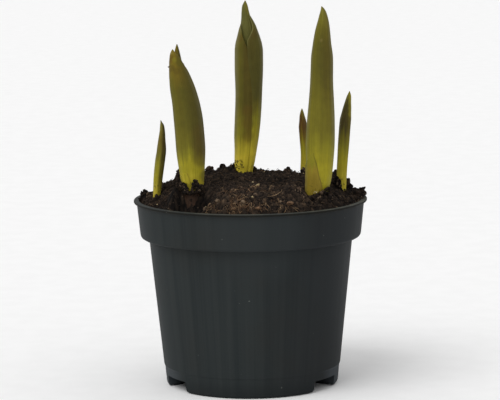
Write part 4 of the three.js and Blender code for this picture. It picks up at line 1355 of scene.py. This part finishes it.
def corm_mesh(name, corm, shoot, random):
    """A flattened bulb whose papery skin rises in a torn neck that closes about the shoot."""
    (middle_x, middle_y), radius, half, (neck_x, neck_y), neck, top = corm
    belly = CROWN_Z - half
    socket = neck * 0.97 - NECK_SKIN
    # Corners are radius, height, how far towards the neck's axis, how torn, how close to the shoot and at
    # what distance from it
    corners = [(0.4, belly - half, 0, 0, 0, 0)]
    for turn in np.radians(np.linspace(-78, 50, 18)):
        corners.append((radius * math.cos(turn) ** 0.8, belly + half * math.sin(turn), 0, 0, 0, 0))
    corners += [
        (neck + 1.6, CROWN_Z - 1.4, 0.6, 0, 0, 0), (neck + 0.3, CROWN_Z + 0.4, 1, 0, 0, 0),
        (neck, CROWN_Z + 3, 1, 0, 0, 0),
    ]
    for share in np.linspace(0.15, 1, 7):
        height = CROWN_Z + 3 + (top - CROWN_Z - 3) * share
        corners.append((neck * (1 - 0.03 * share), height, 1, share ** 2, share, NECK_OUTSIDE))
    for share in np.linspace(1, 0.1, 6):
        corners.append((socket, CROWN_Z + (top - CROWN_Z) * share, 1, share ** 2, share, NECK_INSIDE))
    corners += [(socket * 0.8, CROWN_Z + 0.05, 1, 0, 0, 0), (0.4, CROWN_Z, 1, 0, 0, 0)]
    reach, height, slide, torn, close, clear = np.array(corners).T[:, :, None]
    angles = np.linspace(0, 2 * math.pi, CORM_AROUND, endpoint=False)[None, :]
    waves = ((3, 0.8), (7, 0.6), (13, 0.5), (23, 0.4))
    ragged = sum(np.sin(count * angles + random.random() * 6) * size for count, size in waves)
    ribs = 0.16 * np.cos(31 * angles + 2) + 0.1 * np.cos(53 * angles)
    grown = reach + ribs * smooth_step(reach, 1, 4)
    x = middle_x * (1 - slide) + neck_x * slide + grown * np.cos(angles)
    y = middle_y * (1 - slide) + neck_y * slide + grown * np.sin(angles)
    hugging = surface(shoot, height, np.degrees(angles), -clear - 0.4 * ribs)
    x += (hugging[:, :, 0] - x) * close
    y += (hugging[:, :, 1] - y) * close
    z = height + torn * (0.35 * ragged + 0.2)
    rings = np.stack([x, y, z], -1)
    mesh = make_mesh(name, rings.reshape(-1, 3), loft_faces(len(corners), CORM_AROUND))
    grain = np.stack([angles * 10 + 0 * x, height + 0 * x, 0 * x], -1)
    add_attribute(mesh, "grain", grain.reshape(-1, 3))
    return mesh


def make_corms(random):
    look = corm_look()
    for name, corm in CORMS.items():
        mesh = corm_mesh(f"{name}_corm_skin", corm, SHOOTS[name], random)
        add_piece(f"{name}_corm_skin", mesh, look, "corm_skin", f"{name}_corm")


# Small things on the leaves

def make_specks(random):
    """Bits stuck to the foot of the middle shoot, the dark scab on the left shoot's edge and pale flakes on
    the right one's foot."""
    z = between(random, (116.5, 122.3), SCALE_COUNT)
    degrees = between(random, (-165, -95), SCALE_COUNT)
    places = surface(SHOOTS["middle"], z, degrees)
    sizes = between(random, SCALE_RADII, SCALE_COUNT)
    look = plain_grain_look("foot_scale", srgb(44, 34, 16), srgb(92, 74, 26))
    add_lumps("foot_scales", look, random, places, sizes, 2, flat=0.6)

    places = surface(SHOOTS["left"], np.array([180.6]), np.array([-172.0]))
    add_lumps("edge_scab", crumb_look(), random, places, [0.65], 2, flat=0.6)

    places = np.array([(34.4, -37.9, 111.6), (35.1, -37.8, 112.4), (35.9, -37.9, 112), (36.6, -37.8, 112.6)])
    look = plain_grain_look("dry_flake", srgb(140, 122, 84), srgb(206, 190, 150))
    add_lumps("dry_flakes", look, random, places, [0.35, 0.3, 0.42, 0.32], 2, flat=0.4)


# Stage

def make_floor():
    look = Look("pale_floor", 0.9, 0.1)
    grain = look.clouds(60.0, 2.0)
    low, high = FLOOR_ALBEDO - 0.01, FLOOR_ALBEDO + 0.01
    colour = look.mix(look.rise(grain, 0.3, 0.7), (low, low, low, 1), (high, high, high, 1))
    size = 8000
    points = [(-size, -size, 0), (size, -size, 0), (size, size, 0), (-size, size, 0)]
    floor = new_object("floor", make_mesh("floor", points, np.array([[0, 1, 2, 3]])))
    floor.data.materials.append(look.finish(colour))


def make_lights():
    world = bpy.data.worlds.new("studio")
    bpy.context.scene.world = world
    world.use_nodes = True
    background = world.node_tree.nodes["Background"]
    background.inputs[0].default_value = (1, 1, 1, 1)
    background.inputs[1].default_value = WORLD_STRENGTH
    light = bpy.data.lights.new("key", "SUN")
    light.energy = SUN_STRENGTH
    light.angle = math.radians(SUN_SOFTNESS)
    key = new_object("key", light)
    height, side = math.radians(SUN_HEIGHT), math.radians(SUN_SIDE)
    source = Vector((math.cos(height) * math.sin(side), -math.cos(height) * math.cos(side), math.sin(height)))
    key.rotation_mode = "QUATERNION"
    key.rotation_quaternion = (-source).to_track_quat("-Z", "Y")
    bpy.context.scene.view_settings.view_transform = "Standard"


def make_camera():
    data = bpy.data.cameras.new("camera")
    data.lens = CAMERA_LENS
    data.sensor_width = CAMERA_SENSOR
    data.shift_x = CAMERA_SHIFT
    data.clip_start = 0.05
    data.clip_end = 50
    camera = new_object("camera", data)
    tilt = Euler((math.radians(90 - CAMERA_PITCH), 0, 0)).to_matrix()
    roll = Matrix.Rotation(math.radians(CAMERA_ROLL), 3, "Z")
    camera.location = (0, -CAMERA_DISTANCE * MM, CAMERA_HEIGHT * MM)
    camera.rotation_mode = "QUATERNION"
    camera.rotation_quaternion = (tilt @ roll).to_quaternion()
    bpy.context.scene.camera = camera


make_camera()
make_lights()
make_floor()
make_pot()
ground = Ground(np.random.default_rng(5))
make_peat_body(ground)
make_crumbs(np.random.default_rng(6), ground)
make_fibres(np.random.default_rng(7), ground)
make_grains(np.random.default_rng(8), ground)
make_corms(np.random.default_rng(9))
make_left_shoot()
make_middle_shoot()
make_right_shoot()
make_small_shoots()
make_specks(np.random.default_rng(10))

bpy.context.view_layer.update()
